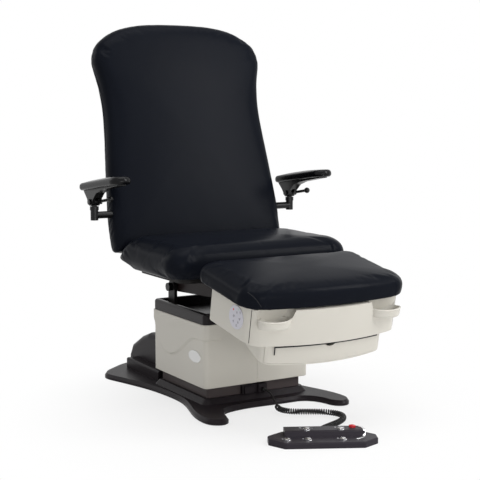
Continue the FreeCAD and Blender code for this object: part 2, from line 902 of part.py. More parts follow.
def make_head_plate():
    plate = box("head_sheet", (
        "-1 * ( cover_half_x - shell_wall - fit_gap )",
        "-1 * ( cover_half_y - shell_wall - fit_gap )", "cover_top - head_thick"),
        ("2 * ( cover_half_x - shell_wall - fit_gap )",
         "2 * ( cover_half_y - shell_wall - fit_gap )", "head_thick"))
    trims = []
    reach = "cover_radius"
    for a in ("-1", "1"):
        for b in ("-1", "1"):
            trims.append(box("head_corner_%s_%s" % (a, b), (
                "%s * ( cover_half_x - shell_wall ) - 5 * %s / 8" % (a, reach),
                "%s * ( cover_half_y - shell_wall ) - 5 * %s / 8" % (b, reach),
                "cover_top - 2 * head_thick"),
                ("5 * %s / 4" % reach, "5 * %s / 4" % reach, "3 * head_thick")))
    sheet_piece = less("head_trimmed", plate, trims)
    bottom = FLOOR + " + ram_floor + 3 * running_gap"
    inner_ram = rod("ram_top", ("0", "0", bottom), RAM_TOP,
                    "cover_top - head_thick / 2 - ( " + bottom + " )")
    pieces = [sheet_piece, inner_ram]
    for sign in ("-1", "1"):
        near = "saddle_half + lug_gap"
        start = near if sign == "1" else "-1 * ( " + near + " + lug_thick )"
        web = box("lug_web_" + sign, (start, "tilt_y - lug_half", "cover_top - head_thick / 2"),
                  ("lug_thick", "2 * lug_half", "tilt_z - cover_top + head_thick / 2"))
        eye = rod("lug_eye_" + sign, (start, "tilt_y", "tilt_z"), "lug_half", "lug_thick", "X")
        pieces += [web, eye]
    solid = joined("head_solid", pieces)
    bore = rod("lug_bore", ("-1 * ( saddle_half + 2 * lug_thick )", "tilt_y", "tilt_z"),
               "tilt_pin_radius + fit_gap / 3", "2 * saddle_half + 4 * lug_thick", "X")
    return less("head_plate", solid, [bore])


def make_tilt_pin():
    half = "saddle_half + lug_gap + lug_thick + fit_gap"
    shaft = rod("tilt_shaft", ("-1 * ( " + half + " )", "tilt_y", "tilt_z"),
                "tilt_pin_radius", "2 * ( " + half + " )", "X")
    caps = []
    for sign in ("-1", "1"):
        start = half if sign == "1" else "-1 * ( " + half + " + knob_long )"
        caps.append(rod("tilt_knob_" + sign, (start, "tilt_y", "tilt_z"),
                        "knob_radius", "knob_long", "X"))
    return joined("tilt_pin", [shaft] + caps)


# Pump housing behind the column

def pump_profile(shrink):
    front = size("pump_front") + shrink
    low = size("base_top")
    return [
        (front, low),
        (front, size("pump_height") - shrink),
        (size("pump_shoulder_y") - size("pump_round") * 3, size("pump_height") - shrink),
        (size("pump_shoulder_y"), size("pump_shoulder_z") - shrink),
        (size("pump_slope_y") - shrink / 2, size("pump_slope_z") - shrink / 2),
        (size("pump_rear") - shrink, size("step_top")),
        (size("pump_rear") - shrink, low),
    ]


def extruded_profile(points, half):
    wire = Part.makePolygon([Vector(-half, y, z) for y, z in points + points[:1]])
    return Part.Face(wire).extrude(Vector(2 * half, 0, 0))


def make_pump_cover():
    wall = size("shell_wall")
    half = size("pump_half")
    hump = extruded_profile(pump_profile(0), half)
    edges = [edge for edge in hump.Edges
             if abs(abs(edge.CenterOfMass.x) - half) < wall
             and edge.CenterOfMass.z > size("base_top") + wall]
    hump = hump.makeFillet(size("pump_round"), edges)
    step = Part.makeBox(
        2 * size("step_half"), size("step_rear") - size("pump_front"),
        size("step_top") - size("base_top"),
        Vector(-size("step_half"), size("pump_front"), size("base_top")))
    edges = [edge for edge in step.Edges
             if edge.CenterOfMass.z > size("base_top") + wall
             and edge.CenterOfMass.y > size("pump_front") + wall]
    step = step.makeFillet(size("base_bevel"), edges)
    inside = extruded_profile(
        [(y, z - size("overrun") if z == size("base_top") else z)
         for y, z in pump_profile(wall)], half - wall)
    inner_edges = [edge for edge in inside.Edges
                   if abs(abs(edge.CenterOfMass.x) - half + wall) < 1e-3
                   and edge.CenterOfMass.z > size("base_top") + wall]
    inside = inside.makeFillet(size("pump_round") - wall, inner_edges)
    low_room = Part.makeBox(
        2 * (size("step_half") - wall),
        size("step_rear") - size("pump_front") - 2 * wall,
        size("step_top") - size("base_top") - wall + size("overrun"),
        Vector(-size("step_half") + wall, size("pump_front") + wall,
               size("base_top") - size("overrun")))
    window = Part.makeBox(
        size("inlet_wide"), size("inlet_deep"), size("inlet_tall"),
        Vector(-size("inlet_wide") / 2, size("pump_rear") - size("inlet_deep"),
               size("inlet_z") - size("inlet_tall") / 2))
    shape = hump.fuse(step).cut(inside).cut(low_room).cut(window)
    return feature("pump_cover", shape)


def make_power_inlet():
    block = box("inlet_block", (
        "-1 * inlet_wide / 2 + fit_gap", "pump_rear - inlet_deep",
        "inlet_z - inlet_tall / 2 + fit_gap"),
        ("inlet_wide - 2 * fit_gap", "inlet_deep", "inlet_tall - 2 * fit_gap"))
    flange = box("inlet_plate", (
        "-1 * inlet_wide / 2 - inlet_flange", "pump_rear",
        "inlet_z - inlet_tall / 2 - inlet_flange"),
        ("inlet_wide + 2 * inlet_flange", "inlet_flange", "inlet_tall + 2 * inlet_flange"))
    mouth = box("inlet_mouth", (
        "-1 * inlet_wide / 2 + 3 * inlet_flange", "pump_rear - inlet_deep + inlet_flange",
        "inlet_z - inlet_tall / 2 + 2 * inlet_flange"),
        ("inlet_wide - 6 * inlet_flange", "inlet_deep + inlet_flange",
         "inlet_tall - 4 * inlet_flange"))
    return less("power_inlet", joined("inlet_solid", [block, flange]), [mouth])


def make_pump_unit():
    start = "pump_front + 3 * shell_wall"
    tank = box("pump_tank", ("-1 * tank_wide - tank_wide / 4", start, FLOOR),
               ("tank_wide", "tank_long", "tank_tall"))
    motor = rod("pump_motor", (
        "motor_radius", "pump_front + 3 * shell_wall + motor_long",
        FLOOR + " + motor_radius"), "motor_radius", "motor_long", "Y")
    motor.Placement = FreeCAD.Placement(
        Vector(), FreeCAD.Rotation(Vector(0, 0, 1), Vector(0, -1, 0)))
    put_at(motor, "motor_radius", "pump_front + 3 * shell_wall + motor_long",
           FLOOR + " + motor_radius")
    block = box("pump_block", (
        "-1 * tank_wide / 4", "pump_front + 3 * shell_wall + motor_long", FLOOR),
        ("2 * motor_radius", "motor_radius", "2 * motor_radius"))
    return joined("pump_unit", [tank, motor, block])


# Cord socket on the front of the skirt

def make_cord_socket():
    front = "-1 * ( " + sleeve_words("y", 2) + " )"
    base = box("socket_base", (
        "-1 * socket_left", front + " - socket_deep", "socket_bottom"),
        ("socket_left + socket_right", "socket_deep", "socket_tall"))
    port = box("socket_port", (
        "socket_port_x - socket_port_wide / 2", front + " - socket_port_deep",
        "socket_bottom"), ("socket_port_wide", "socket_port_deep", "socket_tall"))
    blank = box("socket_blank", (
        "-1 * socket_left + socket_deep / 2", front + " - socket_port_deep + socket_deep / 3",
        "socket_bottom"), ("socket_port_wide", "socket_deep", "socket_tall - socket_deep / 3"))
    return joined("cord_socket", [base, port, blank])


# Foot control

def pedal_outline(shrink):
    long_half = size("pedal_half_long") - shrink
    deep_half = size("pedal_half_deep") - shrink
    cut = size("pedal_cut")
    end = size("pedal_half_deep") - cut + size("pedal_round") / 2
    return [
        (-long_half + cut, -deep_half), (long_half - cut, -deep_half),
        (long_half, -end), (long_half, end),
        (long_half - cut, deep_half), (-long_half + cut, deep_half),
        (-long_half, end), (-long_half, -end),
    ]


BUTTON_SHARES = {
    "foot_button_chair_up": (-0.67, -0.55, "pedal_low"),
    "foot_button_chair_down": (-0.29, -0.55, "pedal_low"),
    "foot_button_back_up": (0.34, -0.55, "pedal_low"),
    "foot_button_back_down": (-0.29, 0.30, "pedal_high"),
    "foot_button_home": (0.34, 0.30, "pedal_high"),
    "foot_button_stop": (0.58, 0.72, "pedal_high"),
}


def button_spot(label):
    along, across, level = BUTTON_SHARES[label]
    return Vector(size("pedal_half_long") * along, size("pedal_half_deep") * across,
                  size(level))


def button_radius(label):
    return size("stop_radius" if label.endswith("stop") else "button_radius")


def button_wells():
    wells = []
    for label in BUTTON_SHARES:
        spot = button_spot(label)
        depth = size("button_sink") + size("button_travel") + size("button_hole_gap")
        wells.append(Part.makeCylinder(
            button_radius(label) + size("button_hole_gap"), depth + size("pedal_high"),
            Vector(spot.x, spot.y, spot.z - depth)))
    return wells


def make_foot_control():
    body = slab("pedal_slab", "XY_Plane", pedal_outline(0), "0", "pedal_low")
    fillet(body, upright, "pedal_cut / 4")
    top = size("pedal_low")

    def top_rim(edge):
        return edge.BoundBox.ZMin > top - size("fit_gap")
    fillet(body, top_rim, "pedal_round")
    base = body.Shape.copy()
    profile = slab("deck_profile", "YZ_Plane", [
        (size("deck_front"), top),
        (size("deck_front") + size("deck_slope"), size("pedal_high") - size("pedal_round") / 2),
        (size("deck_front") + 2 * size("deck_slope"), size("pedal_high")),
        (size("pedal_half_deep"), size("pedal_high")),
        (size("pedal_half_deep"), top),
    ], "-1 * deck_half_long", "deck_half_long + deck_right")
    limit = Part.Face(Part.makePolygon(
        [Vector(x, y, 0) for x, y in pedal_outline(size("pedal_round"))
         + pedal_outline(size("pedal_round"))[:1]])).extrude(Vector(0, 0, 2 * size("pedal_high")))
    deck = profile.Shape.common(limit)
    for well in button_wells():
        base = base.cut(well)
        deck = deck.cut(well)
    ring = Part.makeCylinder(size("arc_radius"), size("arc_thick")).cut(
        Part.makeCylinder(size("arc_radius") - size("arc_wide"), size("arc_thick")))
    ring.translate(Vector(
        size("deck_right") - size("arc_radius") - size("arc_wide") / 2,
        size("pedal_half_deep") - 2 * size("pedal_round"), size("pedal_high")))
    keep = Part.makeBox(
        size("arc_radius") / 2, size("arc_radius"), 2 * size("pedal_high"),
        Vector(size("deck_right") - size("arc_radius") / 2 - size("arc_wide") / 2,
               size("deck_front") + 2 * size("deck_slope"), 0))
    trim = ring.common(keep).common(limit)
    pieces = [
        feature("foot_control_base", base, PEDAL_FRAME),
        feature("foot_control_deck", deck, PEDAL_FRAME),
        feature("foot_control_arc", trim, PEDAL_FRAME),
    ]
    for label in BUTTON_SHARES:
        spot = button_spot(label)
        radius = button_radius(label)
        proud = size("button_proud")
        dome_radius = 2 * radius
        stem = Part.makeCylinder(
            radius, size("button_sink") + proud,
            Vector(spot.x, spot.y, spot.z - size("button_sink")))
        dome = Part.makeSphere(
            dome_radius, Vector(spot.x, spot.y, spot.z + proud - dome_radius))
        pieces.append(feature(label, stem.common(dome), PEDAL_FRAME))
    return pieces


# Curly cord: a plain lead, then one unbroken helix of wire

LEAD_ROUTE = [
    (20.0, -211.5, 52.0), (20.0, -236.0, 52.0), (17.0, -261.0, 44.5),
    (12.0, -286.0, 32.0), (6.0, -311.0, 21.0),
]
COIL_ROUTE = [
    (6.0, -311.0, 21.0), (0.7, -333.0, 11.3), (26.0, -379.0, 11.2), (80.0, -408.0, 11.2),
    (127.0, -440.0, 11.2), (150.0, -486.0, 11.2), (134.0, -530.0, 11.2),
    (92.0, -562.0, 11.2), (38.0, -583.0, 11.2), (-22.6, -612.6, 14.0),
    (-35.3, -637.6, 14.0),
]


def rounded_path(points):
    # straight runs joined by the largest tangent arcs that fit
    places = [Vector(*point) for point in points]
    edges = []
    radii = []
    start = places[0]
    for before, corner, after in zip(places, places[1:], places[2:]):
        back = (before - corner).normalize()
        ahead = (after - corner).normalize()
        turn = math.pi - back.getAngle(ahead)
        shorter = min((corner - before).Length, (after - corner).Length)
        tangent = ARC_SHARE * shorter
        radius = tangent / math.tan(turn / 2)
        radii.append(radius)
        first = corner + back * tangent
        last = corner + ahead * tangent
        bisector = (back + ahead).normalize()
        to_centre = math.hypot(radius, tangent)
        middle = corner + bisector * (to_centre - radius)
        edges.append(Part.LineSegment(start, first).toShape())
        edges.append(Part.Arc(first, middle, last).toShape())
        start = last
    edges.append(Part.LineSegment(start, places[-1]).toShape())
    return Part.Wire(edges), radii


ARC_SHARE = 0.45


def tube_along(wire, radius):
    start = wire.Edges[0]
    direction = start.tangentAt(start.FirstParameter)
    circle = Part.Circle(start.valueAt(start.FirstParameter), direction, radius)
    shell = Part.BRepOffsetAPI.MakePipeShell(wire)
    shell.add(Part.Wire([circle.toShape()]))
    shell.build()
    shell.makeSolid()
    return shell.shape()


def biarc(start, start_way, end, end_way):
    # two arcs that leave start along start_way and reach end along end_way
    across = end - start
    total = start_way + end_way
    dot = across.dot(total)
    spread = 2 * (1 - start_way.dot(end_way))
    reach = (-dot + math.sqrt(dot * dot + spread * across.dot(across))) / spread
    first_corner = start + start_way * reach
    last_corner = end - end_way * reach
    joint = (first_corner + last_corner) / 2
    arcs = []
    for near, corner, far in ((start, first_corner, joint), (joint, last_corner, end)):
        chord_middle = (near + far) / 2
        half_chord = (far - near).Length / 2
        height = (corner - chord_middle).Length
        radius = half_chord * reach / height
        sagitta = radius - math.sqrt(radius * radius - half_chord * half_chord)
        middle = chord_middle + (corner - chord_middle).normalize() * sagitta
        arcs.append(Part.Arc(near, middle, far).toShape())
    return arcs


HALF_TURNS = 2
SPINE_STEPS = 600


def route_curve(points):
    # a clamped curve of degree two that the route's points control
    spine = Part.BSplineCurve()
    count = len(points)
    spine.buildFromPolesMultsKnots(
        [Vector(*point) for point in points], [3] + [1] * (count - 3) + [3],
        list(range(count - 1)), False, 2)
    return spine


def coil_wire():
    spine = route_curve(COIL_ROUTE)
    first, last = spine.FirstParameter, spine.LastParameter
    samples = [spine.value(first + (last - first) * step / SPINE_STEPS)
               for step in range(SPINE_STEPS + 1)]
    lengths = [0.0]
    for near, far in zip(samples, samples[1:]):
        lengths.append(lengths[-1] + (far - near).Length)
    ways = [(b - a).normalize() for a, b in zip(samples, samples[1:])]
    ways.append(ways[-1])
    sides = [Vector(0, 0, 1).cross(ways[0]).normalize()]
    for way in ways[1:]:
        side = sides[-1] - way * sides[-1].dot(way)
        sides.append(side.normalize())
    wire = size("wire_diameter")
    radius = (size("curl_diameter") - wire) / 2
    lead_in = wire * END_TURN_SHARE
    usable = lengths[-1] - 2 * lead_in
    turns = int(size("curl_count"))

    def at(distance):
        step = 0
        low, high = 0, len(lengths) - 1
        while high - low > 1:
            step = (low + high) // 2
            if lengths[step] > distance:
                high = step
            else:
                low = step
        part = (distance - lengths[low]) / (lengths[high] - lengths[low])
        centre = samples[low] + (samples[high] - samples[low]) * part
        way = ways[low]
        side = (sides[low] - way * sides[low].dot(way)).normalize()
        return centre, way, side

    def on_helix(turn):
        centre, way, side = at(lead_in + usable * turn / turns)
        angle = 2 * math.pi * turn
        up = way.cross(side)
        return centre + side * (radius * math.cos(angle)) + up * (radius * math.sin(angle))

    tiny = 1.0 / (360 * turns)
    edges = []
    begin = samples[0]
    straight = begin + ways[0] * wire
    edges.append(Part.LineSegment(begin, straight).toShape())
    place, way = straight, ways[0]
    for half in range(HALF_TURNS * turns + 1):
        turn = half / HALF_TURNS
        spot = on_helix(turn)
        ahead = on_helix(min(turn + tiny, turns)) - on_helix(max(turn - tiny, 0))
        heading = ahead.normalize()
        edges += biarc(place, way, spot, heading)
        place, way = spot, heading
    finish = samples[-1] - ways[-1] * wire
    edges += biarc(place, way, finish, ways[-1])
    edges.append(Part.LineSegment(finish, samples[-1]).toShape())
    return Part.Wire(edges)


END_TURN_SHARE = 2.4
GAP_STEP_SHARE = 0.3


def least_gap(wire):
    # the least distance between turns that are not next to each other on the wire
    thick = size("wire_diameter")
    points = wire.discretize(Distance=thick * GAP_STEP_SHARE)
    skip = int(math.pi * size("curl_diameter") / 2 / (thick * GAP_STEP_SHARE))
    cells = {}
    for number, point in enumerate(points):
        key = tuple(int(math.floor(c / (2 * thick))) for c in point)
        cells.setdefault(key, []).append((number, point))
    best = None
    for key, members in cells.items():
        near = []
        for dx in (-1, 0, 1):
            for dy in (-1, 0, 1):
                for dz in (-1, 0, 1):
                    near += cells.get((key[0] + dx, key[1] + dy, key[2] + dz), [])
        for number, point in members:
            for other, place in near:
                if other - number > skip:
                    gap = (place - point).Length
                    best = gap if best is None else min(best, gap)
    return best - thick


def make_cord():
    start = Vector(*LEAD_ROUTE[0])
    plug_start = start.y + size("plug_long")
    plug = Part.makeCylinder(
        size("plug_radius"), size("plug_long"), Vector(start.x, plug_start, start.z),
        Vector(0, -1, 0))
    plug = plug.makeChamfer(size("plug_radius") / 3, [
        edge for edge in plug.Edges if edge.BoundBox.YMax < start.y + size("fit_gap")])
    wire, radii = rounded_path(LEAD_ROUTE)
    radius = size("wire_diameter") / 2
    lead = tube_along(wire, radius)
    print("lead radii", [round(value, 1) for value in radii])
    print("lead length", round(wire.Length, 1), "volume share",
          round(lead.Volume / (math.pi * radius ** 2 * wire.Length), 4))
    coil_path = coil_wire()
    coil = tube_along(coil_path, radius)
    print("coil wire length", round(coil_path.Length, 1), "volume share",
          round(coil.Volume / (math.pi * radius ** 2 * coil_path.Length), 4))
    print("coil least gap to itself", round(least_gap(coil_path), 2))
    print("coil lowest", round(coil.BoundBox.ZMin, 2))
    return [feature("cord_plug", plug), feature("cord_lead", lead),
            feature("cord_coil", coil)]


# Chair: saddle on the tilt hinge, rails, board and cushion

def make_saddle():
    block = slab("saddle_block", "YZ_Plane", [
        (size("saddle_front"), size("saddle_top")),
        (size("saddle_front"), size("saddle_bottom") + size("saddle_rise")),
        (size("tilt_y") - size("lug_half"), size("saddle_bottom")),
        (size("tilt_y") + size("lug_half") / 2, size("saddle_bottom")),
        (size("saddle_rear"), size("saddle_top") - size("saddle_rise")),
        (size("saddle_rear"), size("saddle_top")),
    ], "-1 * saddle_half", "2 * saddle_half")
    fillet(block, upright, "lug_thick")
    cavity = box("saddle_cavity", (
        "-1 * saddle_half + saddle_wall", "saddle_front + saddle_wall",
        "saddle_bottom - overrun"), (
        "2 * ( saddle_half - saddle_wall )", "saddle_rear - saddle_front - 2 * saddle_wall",
        "saddle_top - saddle_bottom + overrun - saddle_wall"))
    bore = rod("saddle_bore", ("-1 * saddle_half - overrun", "tilt_y", "tilt_z"),
               "tilt_pin_radius + running_gap", "2 * ( saddle_half + overrun )", "X")
    return less("saddle", block, [cavity, bore])


def drive(label, y, z, pin):
    drum = rod(label + "_drum", ("-1 * drive_half", y, z), "drive_radius",
               "2 * drive_half", "X")
    bore = rod(label + "_bore", ("-1 * drive_half - overrun", y, z), pin,
               "2 * ( drive_half + overrun )", "X")
    return less(label, drum, [bore])


EAR_INSIDE = "rail_x + ear_thick / 2 + ear_gap"
BOARD_LOW = "saddle_top + rail_tall"
SEAT_LOW = BOARD_LOW + " + board_thick + fit_gap"


def cross_bore(label, y, z, radius):
    reach = EAR_INSIDE + " + leg_rail_wide + overrun"
    return rod(label, ("-1 * ( " + reach + " )", y, z), radius,
               "2 * ( " + reach + " )", "X")


CROSS_SHARES = (0.04, 0.30, 0.56, 0.82)


def make_seat_frame():
    pieces = []
    long = "back_pivot_y - leg_pivot_y - 2 * rail_tall"
    for sign in ("-1", "1"):
        middle = sign + " * rail_x"
        pieces.append(box("seat_rail_" + sign, (
            middle + " - rail_wide / 2", "leg_pivot_y + rail_tall", "saddle_top"),
            ("rail_wide", long, "rail_tall")))
        for end, y, z, shift in (("front", "leg_pivot_y", "leg_pivot_z", " + ear_lift"),
                                 ("rear", "back_pivot_y", "back_pivot_z", " - 2 * rail_tall")):
            start = middle + " - ear_thick / 2"
            pieces.append(rod("seat_eye_%s_%s" % (end, sign), (start, y, z),
                              "ear_half", "ear_thick", "X"))
            pieces.append(box("seat_ear_%s_%s" % (end, sign), (
                start, y + " - ear_half", "saddle_top + ear_lift"),
                ("ear_thick", "2 * ear_half", z + " - saddle_top - ear_lift")))
            pieces.append(box("seat_foot_%s_%s" % (end, sign), (
                start, y + shift, "saddle_top"),
                ("ear_thick", "2 * rail_tall", "rail_tall")))
    for number, share in enumerate(CROSS_SHARES):
        pieces.append(box("seat_cross_%d" % number, (
            "-1 * rail_x", "leg_pivot_y + rail_tall + %s * ( %s )" % (share, long),
            "saddle_top"), ("2 * rail_x", "rail_wide", "cross_tall")))
    bores = [cross_bore("seat_bore_front", "leg_pivot_y", "leg_pivot_z", "pin_radius"),
             cross_bore("seat_bore_rear", "back_pivot_y", "back_pivot_z", "pin_radius")]
    return less("seat_frame", joined("seat_frame_solid", pieces), bores)


def make_seat_board():
    half = size("seat_half") - size("board_in")
    front = size("seat_front") + size("board_inset")
    rear = size("seat_rear") - size("board_inset")
    board = slab("seat_board", "XY_Plane", [
        (-half, front), (half, front), (half, rear), (-half, rear),
    ], BOARD_LOW, "board_thick")
    fillet(board, upright, "board_round")
    return board


def value(text):
    # the number a sum of aliases comes to
    total = 0.0
    for part in text.split(" + "):
        total += size(part)
    return total


SEAT_TAIL_SHARES = (
    (0.0, -1.2), (0.06, -0.95), (0.13, 0.0), (0.225, 0.92), (0.30, 0.70), (0.45, 0.25),
    (0.60, 0.05), (0.76, -0.30), (0.89, -0.52), (1.0, -0.62), (1.2, -0.62),
)


def between(pairs, at):
    # the value at a place along straight runs through pairs
    for (a, first), (b, last) in zip(pairs, pairs[1:]):
        if at <= b:
            return first + (last - first) * max(0.0, at - a) / (b - a)
    return pairs[-1][1]


def make_seat_cushion():
    outline = soft_outline(size("seat_half"), size("seat_front"), size("seat_rear"),
                           size("seat_round"), size("seat_round"))
    narrow = (size("seat_rear") - size("seat_front")) / 2
    bottom = value(SEAT_LOW)
    levels = pillow_levels(bottom, size("seat_top"), size("seat_crown"),
                           size("seat_edge"), narrow)
    middle = size("seat_rear") - narrow

    def tailed(x, y, z):
        # the rear end runs back under the back cushion to a rounded tail, its corners drawn in
        part = max(0.0, (y - middle) / narrow)
        share = between(SEAT_TAIL_SHARES, (z - bottom) / (size("seat_top") - bottom))
        if share < 0:
            share *= (x / size("seat_half")) ** 4
        return Vector(x, y + size("seat_tail") * share * part * part, z)

    return feature("seat_cushion", pillow(outline, levels, tailed))


def make_hinge_pins():
    reach = EAR_INSIDE + " + ear_thick + lug_gap"
    pins = []
    for end, y, z in (("front", "leg_pivot_y", "leg_pivot_z"),
                      ("rear", "back_pivot_y", "back_pivot_z")):
        pins.append(rod("hinge_pin_" + end, ("-1 * ( " + reach + " )", y, z),
                        "pin_radius", "2 * ( " + reach + " )", "X"))
    return group("hinge_pins", pins)


# Back: frame, cushion and rear shell, drawn in the back's own frame

BACK_OUTLINE_SHARES = [
    ("back_half", 0.70, "back_low", 0.994),
    ("back_half", 0.93, "back_low", 0.972),
    ("back_half", 0.982, "back_low", 0.86),
    ("back_half", 0.996, "back_low", 0.50),
    ("back_half", 1.0, "back_long", 0.04),
    ("back_half", 0.997, "back_long", 0.124),
    ("back_half", 0.964, "back_long", 0.31),
    ("waist", 1.0, "back_long", 0.555),
    ("waist", 1.018, "back_long", 0.693),
    ("shoulder", 1.0, "back_long", 0.803),
    ("shoulder", 0.98, "back_long", 0.866),
    ("shoulder", 0.895, "back_long", 0.916),
    ("shoulder", 0.70, "back_long", 0.965),
    ("shoulder", 0.455, "back_long", 0.99),
    ("shoulder", 0.20, "back_long", 0.998),
]
BACK_WIDTHS = {
    "back_half": size("back_half"),
    "waist": size("back_half") - size("back_waist_in"),
    "shoulder": size("back_half") - size("back_shoulder_in"),
}
BACK_RIGHT = [
    (BACK_WIDTHS[w] * a, size(l) * b) for w, a, l, b in BACK_OUTLINE_SHARES]
BACK_OUTLINE = (BACK_RIGHT + [(0.0, size("back_long"))]
                + [(-x, s) for x, s in reversed(BACK_RIGHT)] + [(0.0, size("back_low"))])
BACK_PIVOT = in_frame(BACK_FRAME, (0, size("back_pivot_y"), size("back_pivot_z")))
BAR = in_frame(BACK_FRAME, (0, size("arm_y"), size("bar_z")))
SOCKET_OUTER = size("back_half") - size("socket_edge")
SOCKET_INNER = SOCKET_OUTER - size("socket_long")
ARM_X = size("back_half") + size("pad_gap") + size("pad_half")


def on_back(a, b, level):
    return Vector(a, -level, b)


def span_box(x, y, z):
    return Part.makeBox(x[1] - x[0], y[1] - y[0], z[1] - z[0], Vector(x[0], y[0], z[0]))


def x_rod(low, high, y, z, radius):
    return Part.makeCylinder(radius, high - low, Vector(low, y, z), Vector(1, 0, 0))


def both_sides(shape):
    return shape.fuse(shape.mirror(Vector(), Vector(1, 0, 0)))


def make_back_frame():
    near = size("back_behind") + size("fit_gap")
    far = near + size("back_frame_deep")
    inside = size("rail_x") + size("ear_thick") / 2 + size("ear_gap")
    wide = (inside, inside + size("ear_thick"))
    upright_bar = span_box(
        wide, (near, far), (BACK_PIVOT.z, size("back_rail_tall")))
    ear = span_box(
        wide, (BACK_PIVOT.y - size("ear_half"), BACK_PIVOT.y + size("ear_half")),
        (BACK_PIVOT.z, size("back_low") - size("fit_gap")))
    eye = x_rod(wide[0], wide[1], BACK_PIVOT.y, BACK_PIVOT.z, size("ear_half"))
    web = span_box(
        (SOCKET_INNER, SOCKET_OUTER), (BAR.y, far),
        (BAR.z - size("bar_radius"), BAR.z + size("bar_radius")))
    tube = x_rod(SOCKET_INNER, SOCKET_OUTER, BAR.y, BAR.z,
                 size("bar_radius") + size("socket_wall"))
    side = upright_bar.fuse([ear, eye, web, tube])
    shape = both_sides(side)
    for low in (BAR.z - size("back_cross_tall") / 2,
                size("back_rail_tall") - size("back_cross_tall")):
        half = SOCKET_OUTER if low < BACK_WIDTHS["waist"] else wide[1]
        shape = shape.fuse(span_box(
            (-half, half), (near, far), (low, low + size("back_cross_tall"))))
    reach = 2 * SOCKET_OUTER
    for start, end in ((-reach, -SOCKET_INNER + size("bar_stop")), (SOCKET_INNER + size("bar_stop"), reach)):
        shape = shape.cut(x_rod(start, end, BAR.y, BAR.z, size("bar_radius")))
    shape = shape.cut(x_rod(-reach, reach, BACK_PIVOT.y, BACK_PIVOT.z,
                            size("pin_radius") + size("running_gap")))
    return feature("back_frame", shape.removeSplitter(), BACK_FRAME)


def make_back_cushion():
    levels = pillow_levels(-size("back_behind"), size("back_face"), size("back_crown"),
                           size("back_edge"), BACK_WIDTHS["waist"])
    shape = pillow(BACK_OUTLINE, levels, on_back)
    room = size("bar_radius") + size("socket_wall") + size("pocket_gap")
    pocket_room = span_box(
        (SOCKET_INNER - size("pocket_gap"), SOCKET_OUTER + size("pocket_gap")),
        (BAR.y - room, size("back_behind") + size("overrun")), (BAR.z - room, BAR.z + room))
    channel = x_rod(SOCKET_OUTER, size("back_half") + size("overrun"), BAR.y, BAR.z,
                    size("bar_radius") + size("fit_gap"))
    return feature("back_cushion", shape.cut(both_sides(pocket_room.fuse(channel))),
                   BACK_FRAME)


def make_back_shell():
    near = size("back_behind") + size("fit_gap")
    far = size("back_behind") + size("back_shell_deep")
    wall = size("back_wall")
    first = size("back_shell_inset")
    outside = [(-near, first), (-(near + far) / 2, first + wall / 2),
               (-far + wall, first + 2 * wall), (-far, first + 5 * wall)]
    inside = [(-near + size("overrun"), first + wall),
              (-(near + far) / 2, first + 1.5 * wall),
              (-far + 2 * wall, first + 3 * wall), (-far + wall, first + 6 * wall)]
    shell = pillow(BACK_OUTLINE, outside, on_back).cut(
        pillow(BACK_OUTLINE, inside, on_back))
    middle = size("rail_x") + size("ear_thick") + size("ear_gap")
    slot = span_box(
        (middle - size("ear_thick"), middle + size("ear_thick")),
        (size("overrun"), far + size("overrun")),
        (2 * size("back_low"), size("back_shell_inset") / 2))
    return feature("back_shell", shell.cut(both_sides(slot)), BACK_FRAME)


# Arms: a bar into the back's side, a swinging post, a pitching bracket and pad

def for_side(side, label, shape, frame=None):
    if side == "left":
        shape = shape.mirror(Vector(), Vector(1, 0, 0))
    return feature(label + "_" + side, shape, frame)


BAR_INNER = "( back_half - socket_edge - socket_long + bar_stop )"
ARM_OUT = "( back_half + pad_gap + pad_half )"


def make_arm_bars():
    bars = []
    for sign in ("-1", "1"):
        start = BAR_INNER if sign == "1" else "-1 * " + ARM_OUT
        bar = rod("arm_bar_" + sign, (start, "arm_y", "bar_z"), "bar_radius",
                  ARM_OUT + " - " + BAR_INNER, "X")
        boss = rod("arm_boss_" + sign, (sign + " * " + ARM_OUT, "arm_y", "2 * bar_z - boss_top"),
                   "boss_radius", "2 * ( boss_top - bar_z )")
        bore = rod("arm_bore_" + sign, (
            sign + " * " + ARM_OUT, "arm_y", "2 * bar_z - boss_top + socket_wall"),
            "spindle_radius + running_gap", "2 * ( boss_top - bar_z )")
        bars.append(less("arm_bar_piece_" + sign,
                         joined("arm_bar_solid_" + sign, [bar, boss]), [bore]))
    return group("arm_bars", bars)


def under_pad(y):
    return size("pad_end_z") + (size("pad_end_y") - y) * math.tan(
        math.radians(size("pad_lean")))


def arm_post():
    x, y = ARM_X, size("arm_y")
    low = 2 * size("bar_z") - size("boss_top") + size("socket_wall") + size("running_gap")
    collar = size("boss_top") + size("fit_gap")
    spindle = Part.makeCylinder(size("spindle_radius"), collar + size("collar_tall") - low,
                                Vector(x, y, low))
    ring = Part.makeCylinder(size("boss_radius") + size("overrun"), size("collar_tall"),
                             Vector(x, y, collar))
    half = size("tongue_thick") / 2
    tongue = x_rod(x - half, x + half, y, size("clamp_z"), size("tongue_radius"))
    neck = span_box((x - half, x + half),
                    (y - size("spindle_radius"), y + size("spindle_radius")),
                    (collar, size("clamp_z")))
    bore = x_rod(x - 2 * half, x + 2 * half, y, size("clamp_z"),
                 size("pivot_radius") + size("running_gap"))
    return spindle.fuse([ring, tongue, neck]).cut(bore)


